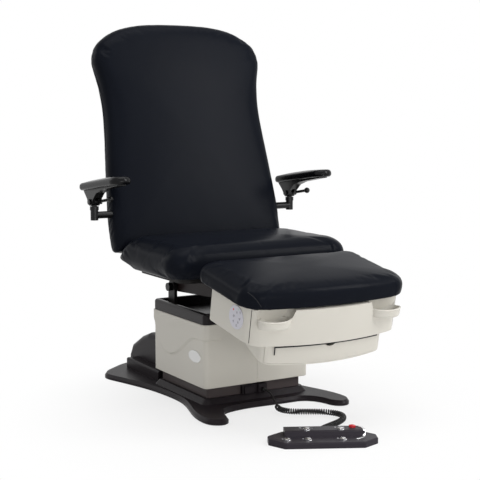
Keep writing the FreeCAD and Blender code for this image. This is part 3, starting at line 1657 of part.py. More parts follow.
def arm_bracket():
    x, y, z = ARM_X, size("arm_y"), size("clamp_z")
    radius = size("tongue_radius")
    rear = size("gusset_rear_y")
    front = size("gusset_front_y")
    rise = size("pad_end_z") - z
    points = [
        (rear, under_pad(rear)), (y + 2 * radius, z + rise / 3), (y + radius, z - radius / 2),
        (y + radius / 2, z - radius), (y - radius / 2, z - radius),
        (y - radius, z - radius / 2), (y - 2 * radius, z + rise / 3),
        (y - 4 * radius, z + rise), (y - 7 * radius, z + rise + radius),
        (front, under_pad(front) - radius / 4), (front, under_pad(front)),
    ]
    half = size("gusset_thick") / 2
    profile = [Vector(x - half, a, b) for a, b in points]
    solid = Part.Face(Part.makePolygon(profile + profile[:1])).extrude(
        Vector(2 * half, 0, 0))
    slot_half = size("tongue_thick") / 2 + size("running_gap")
    slot = span_box((x - slot_half, x + slot_half), (y - 2 * rise, y + 2 * rise),
                    (z - 2 * radius, z + radius + size("overrun")))
    bore = x_rod(x - 2 * half, x + 2 * half, y, z,
                 size("pivot_radius") + size("running_gap"))
    return solid.cut(slot).cut(bore)


def arm_lever():
    x, y, z = ARM_X, size("arm_y"), size("clamp_z")
    half = size("gusset_thick") / 2 + size("fit_gap")
    thick = size("lever_thick")
    inner_cap = x_rod(x - half - thick / 2, x - half, y, z, 2 * size("pivot_radius"))
    pin = x_rod(x - half, x + half, y, z, size("pivot_radius"))
    hub = x_rod(x + half, x + half + thick, y, z, 2 * size("pivot_radius"))
    end_y = y - size("lever_long")
    end_z = z + size("lever_rise")
    bar_start = Vector(x + half + thick / 2, y, z)
    bar_end = Vector(x + half + thick / 2, end_y, end_z)
    along = bar_end - bar_start
    stick = Part.makeCylinder(thick / 2, along.Length, bar_start, along)
    knob = Part.makeSphere(size("ball_radius"), bar_end)
    return inner_cap.fuse([pin, hub, stick, knob])


def arm_pad():
    long = size("pad_end_y") - size("pad_tip_y")
    half = size("pad_half")
    outline = [(x + ARM_X, y) for x, y in soft_outline(
        half, -long, 0.0, half * 0.9, half * 0.9)]
    levels = pillow_levels(0.0, size("pad_thick"), size("pad_crown"), size("pad_edge"), half)
    return pillow(outline, levels, Vector)


def make_arms():
    nodes = []
    for side in ("left", "right"):
        nodes.append(for_side(side, "arm_post", arm_post()))
        nodes.append(for_side(side, "arm_bracket", arm_bracket()))
        # both levers sit on the same hand of their armrests
        across = 0 if side == "right" else -2 * ARM_X
        nodes.append(feature("arm_lever_" + side,
                             arm_lever().translated(Vector(across, 0, 0))))
        nodes.append(for_side(side, "arm_pad", arm_pad(), PAD_FRAME))
    return nodes


# Leg section, drawn in its own frame: forward is -Y, up is +Z

BAY_HALF = size("house_half") - size("bay_in")
HANDLE_X = size("house_half") - size("handle_in")


def ahead(near, far):
    return (-far, -near)


def bowed_prism(half, rear, side_front, mid_front, low, high, corner):
    # straight sides, a bowed front, and corner arcs that touch both without a crease
    across = half - corner
    start = side_front - corner
    inner = mid_front - corner
    bow_centre = (across ** 2 + start ** 2 - inner ** 2) / (2 * (start - inner))
    turn = math.atan2(start - bow_centre, across)
    end = (across + corner * math.cos(turn), start + corner * math.sin(turn))
    middle = (across + corner * math.cos(turn / 2), start + corner * math.sin(turn / 2))

    def place(x, ahead_by):
        return Vector(x, -ahead_by, low)

    face = Part.Face(Part.Wire([
        Part.LineSegment(place(-half, rear), place(-half, start)).toShape(),
        Part.Arc(place(-half, start), place(-middle[0], middle[1]),
                 place(-end[0], end[1])).toShape(),
        Part.Arc(place(-end[0], end[1]), place(0, mid_front), place(*end)).toShape(),
        Part.Arc(place(*end), place(*middle), place(half, start)).toShape(),
        Part.LineSegment(place(half, start), place(half, rear)).toShape(),
        Part.LineSegment(place(half, rear), place(-half, rear)).toShape()]))
    return face.extrude(Vector(0, 0, high - low))


def make_leg_frame():
    inside = size("rail_x") + size("ear_thick") / 2 + size("ear_gap")
    wide = (inside, inside + size("ear_thick"))
    half = size("leg_rail_tall") / 2
    eye = x_rod(wide[0], wide[1], 0, 0, size("ear_half"))
    arm = span_box(wide, ahead(0, size("leg_rail_long")), (-half, half))
    beam = span_box((inside, inside + size("leg_rail_wide")),
                    ahead(size("house_rear") + 2 * size("house_wall"),
                          size("leg_rail_long")), (-half, half))
    shape = both_sides(eye.fuse([arm, beam]))
    first = size("house_rear") + 2 * size("house_wall")
    last = size("leg_rail_long") - size("rail_wide")
    for near in (first, (first + last) / 2, last):
        shape = shape.fuse(span_box(
            (-inside, inside), ahead(near, near + size("rail_wide")), (-half, 0)))
    shape = shape.cut(x_rod(-2 * inside, 2 * inside, 0, 0,
                            size("pin_radius") + size("running_gap")))
    return feature("leg_frame", shape.removeSplitter(), LEG_FRAME)


def bay_solid(side, shrink, front_grow):
    # the wedge under the housing, its floor rising to the rear
    top = size("house_bottom")
    low = size("bay_bottom") + shrink
    rear = size("bay_rear") + 2 * shrink
    mid = size("bay_front_mid")
    points = [Vector(-side, -rear, top + size("overrun")),
              Vector(-side, -rear, top - size("bay_floor") + shrink),
              Vector(-side, -size("bay_front"), low),
              Vector(-side, -mid - front_grow, low - (mid - size("bay_front")) / 8),
              Vector(-side, -mid - front_grow, top + size("overrun"))]
    wedge = Part.Face(Part.makePolygon(points + points[:1])).extrude(
        Vector(2 * side, 0, 0))
    limit = bowed_prism(BAY_HALF, size("bay_rear"), size("bay_front") + front_grow,
                        mid + front_grow, 2 * size("bay_bottom"), 0,
                        size("bay_round"))
    return wedge.common(limit)


def house_block(shrink, high):
    return bowed_prism(
        size("house_half") - shrink, size("house_rear") + shrink,
        size("house_side_front") - shrink, size("house_front") - shrink,
        size("house_bottom") + shrink, high, size("house_round") - shrink)


def make_leg_housing():
    half = size("house_half")
    wall = size("house_wall")
    low, high = size("house_bottom"), size("house_top")
    outer = house_block(0, high).common(span_box(
        (-half, half), ahead(size("house_rear"), size("house_split")), (low, high)))
    rear_edges = [edge for edge in outer.Edges
                  if abs(edge.tangentAt(edge.FirstParameter).z) > 0.99
                  and edge.CenterOfMass.y > -size("house_split") / 2]
    low_edges = [edge for edge in outer.Edges if edge.BoundBox.ZMax < low + wall
                 and edge.CenterOfMass.y > -size("house_split") + wall]
    outer = outer.makeFillet(2 * wall, rear_edges + low_edges)
    shell = outer.cut(house_block(wall, 2 * half))
    inside = size("rail_x") + size("ear_thick") / 2 + size("ear_gap")
    slot_half = size("leg_rail_tall") / 2 + size("running_gap")
    slot = span_box((inside - size("ear_gap"), inside + size("ear_thick") + size("ear_gap")),
                    ahead(0, size("house_rear") + 2 * wall), (-slot_half, 2 * half))
    shell = shell.cut(both_sides(slot))
    bay = bay_solid(BAY_HALF, 0.0, 0.0)
    room = bay_solid(BAY_HALF - size("bay_wall"), size("bay_floor"),
                     size("slide_gap"))
    bay = bay.common(span_box((-half, half), ahead(0, 2 * half), (2 * size("bay_bottom"), low)))
    ties = []
    for sign in (-1, 1):
        x = sign * (BAY_HALF - size("bay_wall") / 2)
        ties.append(span_box((x - wall, x + wall), ahead(size("bay_rear"), size("house_split")),
                             (low - wall, low + wall)))
    lid = span_box((-half, half), ahead(0, 2 * half), (low, low + wall))
    shape = shell.fuse([bay.cut(room.cut(lid))] + ties)
    return feature("leg_housing", shape.removeSplitter(), LEG_FRAME)


def make_keypad():
    oval = Part.Ellipse(Vector(), size("keypad_half_long"), size("keypad_half_tall"))
    plate = Part.Face(Part.Wire([oval.toShape()])).extrude(
        Vector(0, 0, size("keypad_thick")))
    rim = [edge for edge in plate.Edges
           if edge.BoundBox.ZMin > size("keypad_thick") - size("fit_gap")]
    plate = plate.makeFillet(size("keypad_thick") / 2, rim)
    spot = LEG_FRAME.multVec(
        Vector(-size("house_half"), -size("keypad_t"), size("keypad_h")))
    turn = FreeCAD.Rotation(Vector(0, -1, 0), Vector(0, 0, 1), Vector(-1, 0, 0))
    return feature("keypad", plate, FreeCAD.Placement(spot, turn))


# Sliding foot end: board with runners, cushion, front panel and handles

def panel_solid():
    return house_block(0, size("house_top")).common(span_box(
        (-size("house_half"), size("house_half")),
        ahead(size("house_split") + size("fit_gap"), 2 * size("house_front")),
        (size("house_bottom"), size("house_top"))))


RIB_SHARE = 0.35


def rib_span():
    x = size("house_half") * RIB_SHARE
    return (x - size("runner_wide"), x + size("runner_wide"))


def make_slide_frame():
    half = size("house_half") - size("house_wall") - size("board_gap")
    low = size("leg_bottom") - size("slide_board")
    board = span_box((-half, half), ahead(
        size("house_rear") + size("house_wall") + size("board_gap"), size("house_split")),
        (low, size("leg_bottom") - size("fit_gap")))
    inside = (size("rail_x") + size("ear_thick") / 2 + size("ear_gap")
              + size("leg_rail_wide") + size("slide_gap"))
    runner = span_box((inside, inside + size("runner_wide")), ahead(
        size("house_rear") + 4 * size("house_wall"), size("house_split")),
        (-size("leg_rail_tall"), low))
    bracket = span_box(rib_span(), ahead(
        size("house_split") - size("runner_wide"), size("house_split") + size("fit_gap")),
        (size("house_bottom") / 2, low))
    shape = board.fuse(both_sides(runner.fuse(bracket)))
    return feature("slide_frame", shape.removeSplitter(), LEG_FRAME)


def make_leg_cushion():
    outline = soft_outline(
        size("house_half") + size("leg_over"), size("leg_rear"), size("leg_side_front"),
        size("leg_rear_round"), size("leg_round"), size("leg_front") - size("leg_side_front"))
    outline = [(x, -y) for x, y in outline]
    bottom = size("leg_bottom")
    levels = pillow_levels(bottom, bottom + size("leg_thick"), size("leg_crown"),
                           size("leg_edge"), (size("leg_front") - size("leg_rear")) / 2)
    return feature("leg_cushion", pillow(outline, levels, Vector), LEG_FRAME)


def oval_stack(levels):
    # stacked ovals about the right handle's middle: level, half width and half depth
    wires = []
    for level, half_x, half_y in levels:
        oval = Part.Ellipse(
            Vector(HANDLE_X, -size("handle_t"), level), half_x, half_y)
        wires.append(Part.Wire([oval.toShape()]))
    return Part.makeLoft(wires, True, True)


def handle_dish(grow):
    low, high = size("handle_bottom"), size("handle_top")
    half, deep = size("handle_half") + grow, size("handle_deep") + grow
    lip = size("handle_wall")
    return oval_stack([
        (low - grow, half - 2 * lip, deep - 2 * lip), (low + lip / 2, half - lip / 2,
                                                       deep - lip / 2),
        (low + 2 * lip, half, deep), (high + grow, half, deep)])


def make_front_panel():
    outer = panel_solid()
    behind = house_block(size("house_wall"), size("house_top") - size("house_wall"))
    start = size("house_split") + size("fit_gap")
    room = size("handle_half") + 3 * size("handle_wall")
    blocks = [span_box(rib_span(), ahead(start, 2 * start),
                       (size("house_bottom"), size("house_top"))),
              span_box((HANDLE_X - room, HANDLE_X + room),
                       ahead(start, 2 * start), (size("house_bottom"), size("house_top")))]
    solid = both_sides(blocks[0].fuse(blocks[1])).common(outer)
    scoop = oval_stack([
        (size("handle_top") - size("handle_wall"), size("handle_half"), size("handle_deep")),
        (size("house_top"), room, size("handle_deep") + 2 * size("handle_wall")),
        (2 * size("house_top"), room, size("handle_deep") + 2 * size("handle_wall"))])
    keep = span_box((0, 2 * size("house_half")), ahead(size("handle_back"), 2 * start),
                    (2 * size("house_bottom"), 2 * size("house_half")))
    cuts = scoop.fuse(handle_dish(size("fit_gap"))).common(keep)
    shape = outer.cut(behind).fuse(solid).cut(both_sides(cuts))
    return feature("front_panel", shape.removeSplitter(), LEG_FRAME)


def make_pull_handles():
    lip = size("handle_wall")
    half, deep = size("handle_half"), size("handle_deep")
    hollow = oval_stack([
        (size("handle_bottom") + 2 * lip, half - 3 * lip, deep - 3 * lip),
        (size("handle_top") - lip, half - 1.5 * lip, deep - 1.5 * lip),
        (size("handle_top") + size("overrun"), half - lip, deep - lip)])
    keep = span_box((0, 2 * size("house_half")), ahead(
        size("handle_back") + size("fit_gap"), 2 * size("house_front")),
        (2 * size("house_bottom"), size("house_half")))
    dish = handle_dish(0).common(keep).cut(hollow)
    pair = Part.makeCompound([dish, dish.mirror(Vector(), Vector(1, 0, 0))])
    return feature("pull_handles", pair, LEG_FRAME)


def make_debris_tray():
    gap = size("slide_gap") / 4
    floor = size("bay_floor") + gap
    outer = bay_solid(BAY_HALF - size("bay_wall") - gap, floor, 0.0)
    outer = outer.common(span_box(
        (-BAY_HALF, BAY_HALF), ahead(0, 2 * size("bay_front_mid")),
        (2 * size("bay_bottom"), size("tray_top"))))
    wall = size("tray_wall")
    inner = bay_solid(BAY_HALF - size("bay_wall") - gap - wall, floor + wall, 0.0)
    inner = inner.common(bowed_prism(
        BAY_HALF, size("bay_rear") + wall, size("bay_front") - wall,
        size("bay_front_mid") - wall, 2 * size("bay_bottom"), 0, size("bay_round")))
    dip = Part.makeCylinder(
        size("handle_half") / 2, 2 * size("bay_front_mid"),
        Vector(0, -size("bay_front") + 2 * wall, size("tray_top") + size("handle_half") / 3),
        Vector(0, -1, 0))
    return feature("debris_tray", outer.cut(inner).cut(dip), LEG_FRAME)


# Every node, checked and written

NODES = [
    make_base_cover(), make_base_frame(), make_levelling_feet(), *make_lift_column(),
    *make_covers(), make_rim(), make_badge_plate(), make_head_plate(), make_tilt_pin(),
    make_pump_cover(), make_power_inlet(), make_pump_unit(), make_cord_socket(),
    *make_foot_control(), *make_cord(),
    drive("tilt_drive", "tilt_y", "tilt_z", "tilt_pin_radius"),
    make_saddle(), make_seat_frame(), make_seat_board(), make_seat_cushion(),
    make_hinge_pins(),
    drive("back_drive", "back_pivot_y", "back_pivot_z", "pin_radius"),
    drive("leg_drive", "leg_pivot_y", "leg_pivot_z", "pin_radius"),
    make_back_frame(), make_back_cushion(), make_back_shell(), make_arm_bars(),
    *make_arms(), make_leg_frame(), make_leg_housing(), make_keypad(),
    make_slide_frame(), make_leg_cushion(), make_front_panel(), make_pull_handles(),
    make_debris_tray(),
]
doc.recompute()
for item in doc.Objects:
    if "Invalid" in item.State or "Error" in item.State:
        raise ValueError(item.Label + ": " + str(item.State))
os.makedirs("parts", exist_ok=True)
for item in NODES:
    if item.Shape.isNull() or not item.Shape.isValid():
        raise ValueError(item.Label + ": the shape is empty or invalid")
    item.Shape.exportStep("parts/" + item.Label + ".step")
print(len(NODES), "nodes written")
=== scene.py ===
import json
import math

import bpy
import numpy as np
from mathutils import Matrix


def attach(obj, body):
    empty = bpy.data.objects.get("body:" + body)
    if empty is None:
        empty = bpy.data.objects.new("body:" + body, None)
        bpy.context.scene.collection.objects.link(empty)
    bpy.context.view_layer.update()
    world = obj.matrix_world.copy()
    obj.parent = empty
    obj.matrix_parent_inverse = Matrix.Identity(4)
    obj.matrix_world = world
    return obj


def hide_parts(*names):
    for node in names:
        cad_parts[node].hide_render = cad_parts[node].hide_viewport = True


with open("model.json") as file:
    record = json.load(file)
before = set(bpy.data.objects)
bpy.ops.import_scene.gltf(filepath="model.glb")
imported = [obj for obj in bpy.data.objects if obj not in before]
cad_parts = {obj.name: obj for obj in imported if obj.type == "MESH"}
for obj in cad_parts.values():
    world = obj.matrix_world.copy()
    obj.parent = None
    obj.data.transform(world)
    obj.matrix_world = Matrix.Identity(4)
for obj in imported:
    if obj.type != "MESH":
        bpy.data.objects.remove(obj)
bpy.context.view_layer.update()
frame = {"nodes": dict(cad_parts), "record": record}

# The chair's own frames, in metres, as in the part's source
BACK_ORIGIN = np.array([0.0, 0.239, 0.565])
BACK_LEAN = math.radians(14)
LEG_PIVOT = np.array([0.0, -0.345, 0.458])
LEG_SLOPE = math.radians(10)
PAD_ORIGIN = np.array([0.0, 0.320, 0.735])
PAD_LEAN = math.radians(7.5)
PEDAL_ORIGIN = np.array([-0.068, -0.695, 0.0])
PEDAL_TURN = math.radians(-27)


def on_back(across, up, out):
    """A point of the back: across its width, up along it and out from its middle plane."""
    c, s = math.cos(BACK_LEAN), math.sin(BACK_LEAN)
    return np.stack([across + 0 * up,
                     BACK_ORIGIN[1] - out * c + up * s,
                     BACK_ORIGIN[2] + out * s + up * c], -1)


def on_leg(across, forward, up):
    """A point of the leg section: across, forward from its pivot and up from it."""
    c, s = math.cos(LEG_SLOPE), math.sin(LEG_SLOPE)
    return np.stack([across + 0 * up,
                     LEG_PIVOT[1] - forward * c - up * s,
                     LEG_PIVOT[2] - forward * s + up * c], -1)


def on_pad(across, back, up):
    """A point of an armrest pad: across, back from its rear end and up from its underside."""
    c, s = math.cos(PAD_LEAN), math.sin(PAD_LEAN)
    return np.stack([across + 0 * up,
                     PAD_ORIGIN[1] + back * c + up * s,
                     PAD_ORIGIN[2] - back * s + up * c], -1)


def on_pedal(along, across, up):
    """A point of the foot control: along its length, across towards the chair and up."""
    c, s = math.cos(PEDAL_TURN), math.sin(PEDAL_TURN)
    return np.stack([PEDAL_ORIGIN[0] + along * c - across * s,
                     PEDAL_ORIGIN[1] + along * s + across * c,
                     PEDAL_ORIGIN[2] + up + 0 * along], -1)


def out_of_back(points):
    """How far points stand out from the back's middle plane."""
    return (-(points[:, 1] - BACK_ORIGIN[1]) * math.cos(BACK_LEAN)
            + (points[:, 2] - BACK_ORIGIN[2]) * math.sin(BACK_LEAN))


def up_from_leg(points):
    """How far points stand up from the leg section's pivot plane."""
    return (-(points[:, 1] - LEG_PIVOT[1]) * math.sin(LEG_SLOPE)
            + (points[:, 2] - LEG_PIVOT[2]) * math.cos(LEG_SLOPE))


# Materials

COAT_ROUGHNESS = 0.1
GRAIN_DEPTH = 0.0004
PEBBLE_SIZE = 620.0
PEBBLE_DEPTH = 0.0003
FOAM_WAVE_SIZE = 7.0
FOAM_WAVE_DEPTH = 0.003
VINYL_IOR = 1.10


def finish(name, colour, roughness, metal=0.0, mottle=0.06, mottle_size=9.0, grain=0.0,
           grain_size=900.0, coat=0.0, specular=0.5, ior=1.5):
    """Colour and gloss that wander a little with soft noise, and a fine grain as bump."""
    material = bpy.data.materials.new(name)
    material.use_nodes = True
    nodes, links = material.node_tree.nodes, material.node_tree.links
    shader = nodes["Principled BSDF"]
    shader.inputs["Metallic"].default_value = metal
    shader.inputs["Coat Weight"].default_value = coat
    shader.inputs["Coat Roughness"].default_value = COAT_ROUGHNESS
    shader.inputs["Specular IOR Level"].default_value = specular
    shader.inputs["IOR"].default_value = ior
    place = nodes.new("ShaderNodeTexCoord")
    cloud = nodes.new("ShaderNodeTexNoise")
    cloud.inputs["Scale"].default_value = mottle_size
    cloud.inputs["Detail"].default_value = 4.0
    links.new(place.outputs["Object"], cloud.inputs["Vector"])
    tint = nodes.new("ShaderNodeMix")
    tint.data_type = "RGBA"
    light = [c * (1 + mottle) for c in colour]
    dark = [c * (1 - mottle) for c in colour]
    tint.inputs["A"].default_value = (*dark, 1)
    tint.inputs["B"].default_value = (*[min(1.0, c) for c in light], 1)
    links.new(cloud.outputs["Fac"], tint.inputs["Factor"])
    links.new(tint.outputs["Result"], shader.inputs["Base Color"])
    gloss = nodes.new("ShaderNodeMapRange")
    gloss.inputs["To Min"].default_value = max(0.02, roughness * 0.85)
    gloss.inputs["To Max"].default_value = min(1.0, roughness * 1.15)
    links.new(cloud.outputs["Fac"], gloss.inputs["Value"])
    links.new(gloss.outputs["Result"], shader.inputs["Roughness"])
    if grain:
        fine = nodes.new("ShaderNodeTexNoise")
        fine.inputs["Scale"].default_value = grain_size
        fine.inputs["Detail"].default_value = 3.0
        links.new(place.outputs["Object"], fine.inputs["Vector"])
        bump = nodes.new("ShaderNodeBump")
        bump.inputs["Strength"].default_value = grain
        bump.inputs["Distance"].default_value = GRAIN_DEPTH
        links.new(fine.outputs["Fac"], bump.inputs["Height"])
        links.new(bump.outputs["Normal"], shader.inputs["Normal"])
    return material


def upholstery(name, colour, roughness):
    """Coated fabric: a pebbled grain of small cells over a slow unevenness of the foam."""
    material = finish(name, colour, roughness, mottle=0.12, mottle_size=5.0, ior=VINYL_IOR)
    nodes, links = material.node_tree.nodes, material.node_tree.links
    shader = nodes["Principled BSDF"]
    place = nodes.new("ShaderNodeTexCoord")
    cells = nodes.new("ShaderNodeTexVoronoi")
    cells.inputs["Scale"].default_value = PEBBLE_SIZE
    slow = nodes.new("ShaderNodeTexNoise")
    slow.inputs["Scale"].default_value = FOAM_WAVE_SIZE
    slow.inputs["Detail"].default_value = 2.0
    for texture in (cells, slow):
        links.new(place.outputs["Object"], texture.inputs["Vector"])
    first = nodes.new("ShaderNodeBump")
    first.inputs["Strength"].default_value = 0.25
    first.inputs["Distance"].default_value = FOAM_WAVE_DEPTH
    links.new(slow.outputs["Fac"], first.inputs["Height"])
    second = nodes.new("ShaderNodeBump")
    second.inputs["Strength"].default_value = 0.10
    second.inputs["Distance"].default_value = PEBBLE_DEPTH
    links.new(cells.outputs["Distance"], second.inputs["Height"])
    links.new(first.outputs["Normal"], second.inputs["Normal"])
    links.new(second.outputs["Normal"], shader.inputs["Normal"])
    return material


IVORY = (0.60, 0.575, 0.515)
VINYL = upholstery("black_upholstery", (0.0062, 0.0074, 0.0112), 0.30)
FINISHES = {
    "base_plastic": finish("base_moulding", (0.018, 0.0145, 0.0168), 0.36, grain=0.25,
                           ior=1.18),
    "skirt_paint": finish("skirt_paint", (0.075, 0.062, 0.062), 0.34, grain=0.15,
                          ior=1.15),
    "steel": finish("turned_steel", (0.55, 0.55, 0.56), 0.3, metal=1.0, grain=0.1),
    "cover_ivory": finish("ivory_moulding", IVORY, 0.42, mottle=0.015, grain=0.12,
                          grain_size=1400.0),
    "rim_black": finish("rim_moulding", (0.0110, 0.0085, 0.0095), 0.26, grain=0.1,
                        ior=1.25),
    "badge_white": finish("badge_plate_finish", (0.78, 0.78, 0.77), 0.25, coat=0.4),
    "frame_paint": finish("frame_powder", (0.010, 0.009, 0.009), 0.42, grain=0.3,
                          specular=0.2),
    "saddle_paint": finish("saddle_enamel", (0.017, 0.0110, 0.0105), 0.3, grain=0.1,
                           ior=1.16),
    "vinyl_black": VINYL,
    "board_wood": finish("board_stain", (0.008, 0.007, 0.0066), 0.6, mottle=0.2,
                         mottle_size=30.0, grain=0.3, specular=0.2),
    "shell_black": finish("back_shell_moulding", (0.007, 0.007, 0.008), 0.5, grain=0.5,
                          grain_size=700.0, specular=0.2),
    "pad_black": finish("pad_skin", (0.0040, 0.0040, 0.0048), 0.25, grain=0.05,
                        ior=1.25),
    "arm_black": finish("arm_paint", (0.0045, 0.0045, 0.0048), 0.3, grain=0.12,
                        specular=0.25),
    "keypad_grey": finish("keypad_skin", (0.60, 0.59, 0.65), 0.35, mottle=0.02),
    "pedal_black": finish("pedal_moulding", (0.034, 0.030, 0.037), 0.34, grain=0.35,
                          grain_size=1100.0, ior=1.15),
    "chrome": finish("chrome_cap", (0.85, 0.85, 0.87), 0.08, metal=1.0, mottle=0.02),
    "stop_red": finish("stop_cap", (0.62, 0.02, 0.03), 0.25, coat=0.5, mottle=0.05),
    "silver_trim": finish("silver_band", (0.75, 0.75, 0.77), 0.25, metal=0.9,
                          mottle=0.03),
    # The cord's own finish, also used for the strips of painted shade along the leg section's
    # joint and the tray's slot.
    "cord_black": finish("cord_jacket_and_painted_shade", (0.0060, 0.0058, 0.0062), 0.34, grain=0.1,
                         specular=0.3),
    "foot_rubber": finish("levelling_rubber", (0.012, 0.012, 0.012), 0.7, grain=0.4,
                          specular=0.2),
    "motor_grey": finish("motor_enamel", (0.2, 0.21, 0.23), 0.4, grain=0.2),
}
MARKS = finish("printed_mark", (0.55, 0.55, 0.58), 0.5, mottle=0.02)
MARK_RED = finish("printed_mark_red", (0.75, 0.03, 0.05), 0.4, mottle=0.02)
SEAM = finish("seam_thread", (0.006, 0.006, 0.008), 0.6, mottle=0.1)

SLOT_OF = {s["node"]: s["material_slot"] for s in frame["record"]["subparts"]}
for label, node in frame["nodes"].items():
    node.data.materials.clear()
    node.data.materials.append(FINISHES[SLOT_OF[label]])


# Mesh makers

def piece_from_grid(name, grid, material, body, closed=(False, False), caps=False):
    """Quads between neighbours of a grid of points; either way round may close on itself."""
    rows, columns = grid.shape[:2]
    down = np.arange(rows if closed[0] else rows - 1)
    along = np.arange(columns if closed[1] else columns - 1)
    r, c = np.meshgrid(down, along, indexing="ij")
    r2, c2 = (r + 1) % rows, (c + 1) % columns
    quads = np.stack([r * columns + c, r * columns + c2, r2 * columns + c2,
                      r2 * columns + c], -1).reshape(-1, 4)
    points = grid.reshape(-1, 3)
    faces = quads.tolist()
    if caps:
        first = np.arange(columns)
        last = (rows - 1) * columns + np.arange(columns)
        faces.append(first[::-1].tolist())
        faces.append(last.tolist())
    mesh = bpy.data.meshes.new(name)
    mesh.from_pydata(points.tolist(), [], faces)
    mesh.validate()
    piece = bpy.data.objects.new(name, mesh)
    bpy.context.collection.objects.link(piece)
    mesh.materials.append(material)
    mesh.polygons.foreach_set("use_smooth", np.ones(len(mesh.polygons), bool))
    outward(mesh)
    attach(piece, body)
    return piece


def outward(mesh):
    """Turns the faces round if the mesh encloses a negative volume."""
    mesh.calc_loop_triangles()
    count = len(mesh.loop_triangles)
    corners = np.zeros(count * 3, np.int32)
    mesh.loop_triangles.foreach_get("vertices", corners)
    points = np.zeros(len(mesh.vertices) * 3, np.float32)
    mesh.vertices.foreach_get("co", points)
    points = points.reshape(-1, 3).astype(float)
    points -= points.mean(0)
    a, b, c = (points[corners.reshape(-1, 3)[:, k]] for k in range(3))
    if (a * np.cross(b, c)).sum() < 0:
        mesh.flip_normals()


def frames_along(path):
    """Tangents and two square directions that turn as little as they can along a path."""
    way = np.gradient(path, axis=0)
    way /= np.linalg.norm(way, axis=1, keepdims=True)
    side = np.cross(way[0], [0.31, 0.17, 0.93])
    side /= np.linalg.norm(side)
    sides = [side]
    for k in range(1, len(way)):
        side = sides[-1] - way[k] * sides[-1].dot(way[k])
        sides.append(side / np.linalg.norm(side))
    sides = np.array(sides)
    return way, sides, np.cross(way, sides)


def tube(path, radius, around):
    """Circles of a radius, square to a path."""
    _, side, up = frames_along(path)
    turn = np.linspace(0, 2 * np.pi, around, endpoint=False)
    ring = (side[:, None, :] * np.cos(turn)[None, :, None]
            + up[:, None, :] * np.sin(turn)[None, :, None])
    return path[:, None, :] + ring * np.reshape(radius, (-1, 1, 1))


def even(points, count):
    """The same line in equal steps."""
    length = np.r_[0, np.cumsum(np.linalg.norm(np.diff(points, axis=0), axis=1))]
    wanted = np.linspace(0, length[-1], count)
    return np.stack([np.interp(wanted, length, points[:, k]) for k in range(3)], -1)


# Camera, as the photograph sees the chair

camera = bpy.data.objects.new("view_camera", bpy.data.cameras.new("view_camera"))
bpy.context.collection.objects.link(camera)
bpy.context.scene.camera = camera
camera.location = (-2.085, -3.599, 1.055)
aim = np.array([0.043, 0.0, 0.559]) - np.array(camera.location)
aim /= np.linalg.norm(aim)
right = np.cross(aim, [0, 0, 1])
right /= np.linalg.norm(right)
above = np.cross(right, aim)
turn = bpy.data.objects[camera.name].matrix_world.copy()
for row in range(3):
    turn[row][0], turn[row][1], turn[row][2] = right[row], above[row], -aim[row]
    turn[row][3] = camera.location[row]
camera.matrix_world = turn
camera.data.lens = 1161.16 * 36 / 480
camera.data.sensor_width = 36


# Curly cord: a plain lead from the socket, then curls on the route to the foot control

CORD_ROUTE = [
    (0.020, -0.2115, 0.052), (0.020, -0.236, 0.052), (0.017, -0.261, 0.0445),
    (0.012, -0.286, 0.032), (0.006, -0.311, 0.021), (0.0007, -0.333, 0.0123),
    (0.026, -0.379, 0.0118), (0.080, -0.408, 0.0118), (0.127, -0.440, 0.0118),
    (0.150, -0.486, 0.0118), (0.134, -0.530, 0.0118), (0.092, -0.562, 0.0118),
    (0.038, -0.583, 0.0118), (-0.0226, -0.6126, 0.0140), (-0.0353, -0.6376, 0.0140),
]
WIRE = 0.0054
CURL = 0.0075
CURLS = 60
CURL_STEPS = 60
PLAIN_LEAD = 0.105
CURL_EASE = 0.010
CORD_STEP = 0.0013
FLOOR_GAP = 0.0004


def route_line(points):
    """The smooth line that the route's points control, read from its own spline."""
    curve = bpy.data.curves.new("cord_route", "CURVE")
    curve.dimensions = "3D"
    spline = curve.splines.new("NURBS")
    spline.points.add(len(points) - 1)
    for spot, place in zip(spline.points, points):
        spot.co = (*place, 1)
    spline.order_u = 3
    spline.use_endpoint_u = True
    curve.resolution_u = 40
    holder = bpy.data.objects.new("cord_route", curve)
    bpy.context.collection.objects.link(holder)
    bpy.context.view_layer.update()
    mesh = bpy.data.meshes.new_from_object(holder)
    line = np.array([v.co for v in mesh.vertices])
    bpy.data.objects.remove(holder)
    bpy.data.meshes.remove(mesh)
    return line


def curly_path():
    """A helix of curls round the route, easing in from the plain lead and out at the end."""
    route = route_line(CORD_ROUTE)
    whole = np.linalg.norm(np.diff(route, axis=0), axis=1).sum()
    steps = CURL_STEPS * CURLS
    route = even(route, steps)
    _, side, up = frames_along(route)
    reach = np.linspace(0, whole, steps)
    start, end = PLAIN_LEAD, whole - CURL_EASE
    share = np.clip((reach - start) / (end - start), 0, 1)
    angle = 2 * np.pi * CURLS * share
    ease = (np.clip((reach - start) / CURL_EASE, 0, 1)
            * np.clip((end - reach) / CURL_EASE, 0, 1))
    ease = ease * ease * (3 - 2 * ease)
    radius = (CURL * ease)[:, None]
    path = route + radius * (side * np.cos(angle)[:, None] + up * np.sin(angle)[:, None])
    lengths = np.linalg.norm(np.diff(path, axis=0), axis=1)
    return even(path, int(lengths.sum() / CORD_STEP))


cord_path = curly_path()
cord_path[:, 2] = np.maximum(cord_path[:, 2], WIRE / 2 + FLOOR_GAP)
curly_cord = piece_from_grid("curly_cord", tube(cord_path, WIRE / 2, 10),
                             FINISHES["cord_black"], "base",
                             closed=(False, True), caps=True)
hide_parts("cord_lead", "cord_coil")


# Cushions

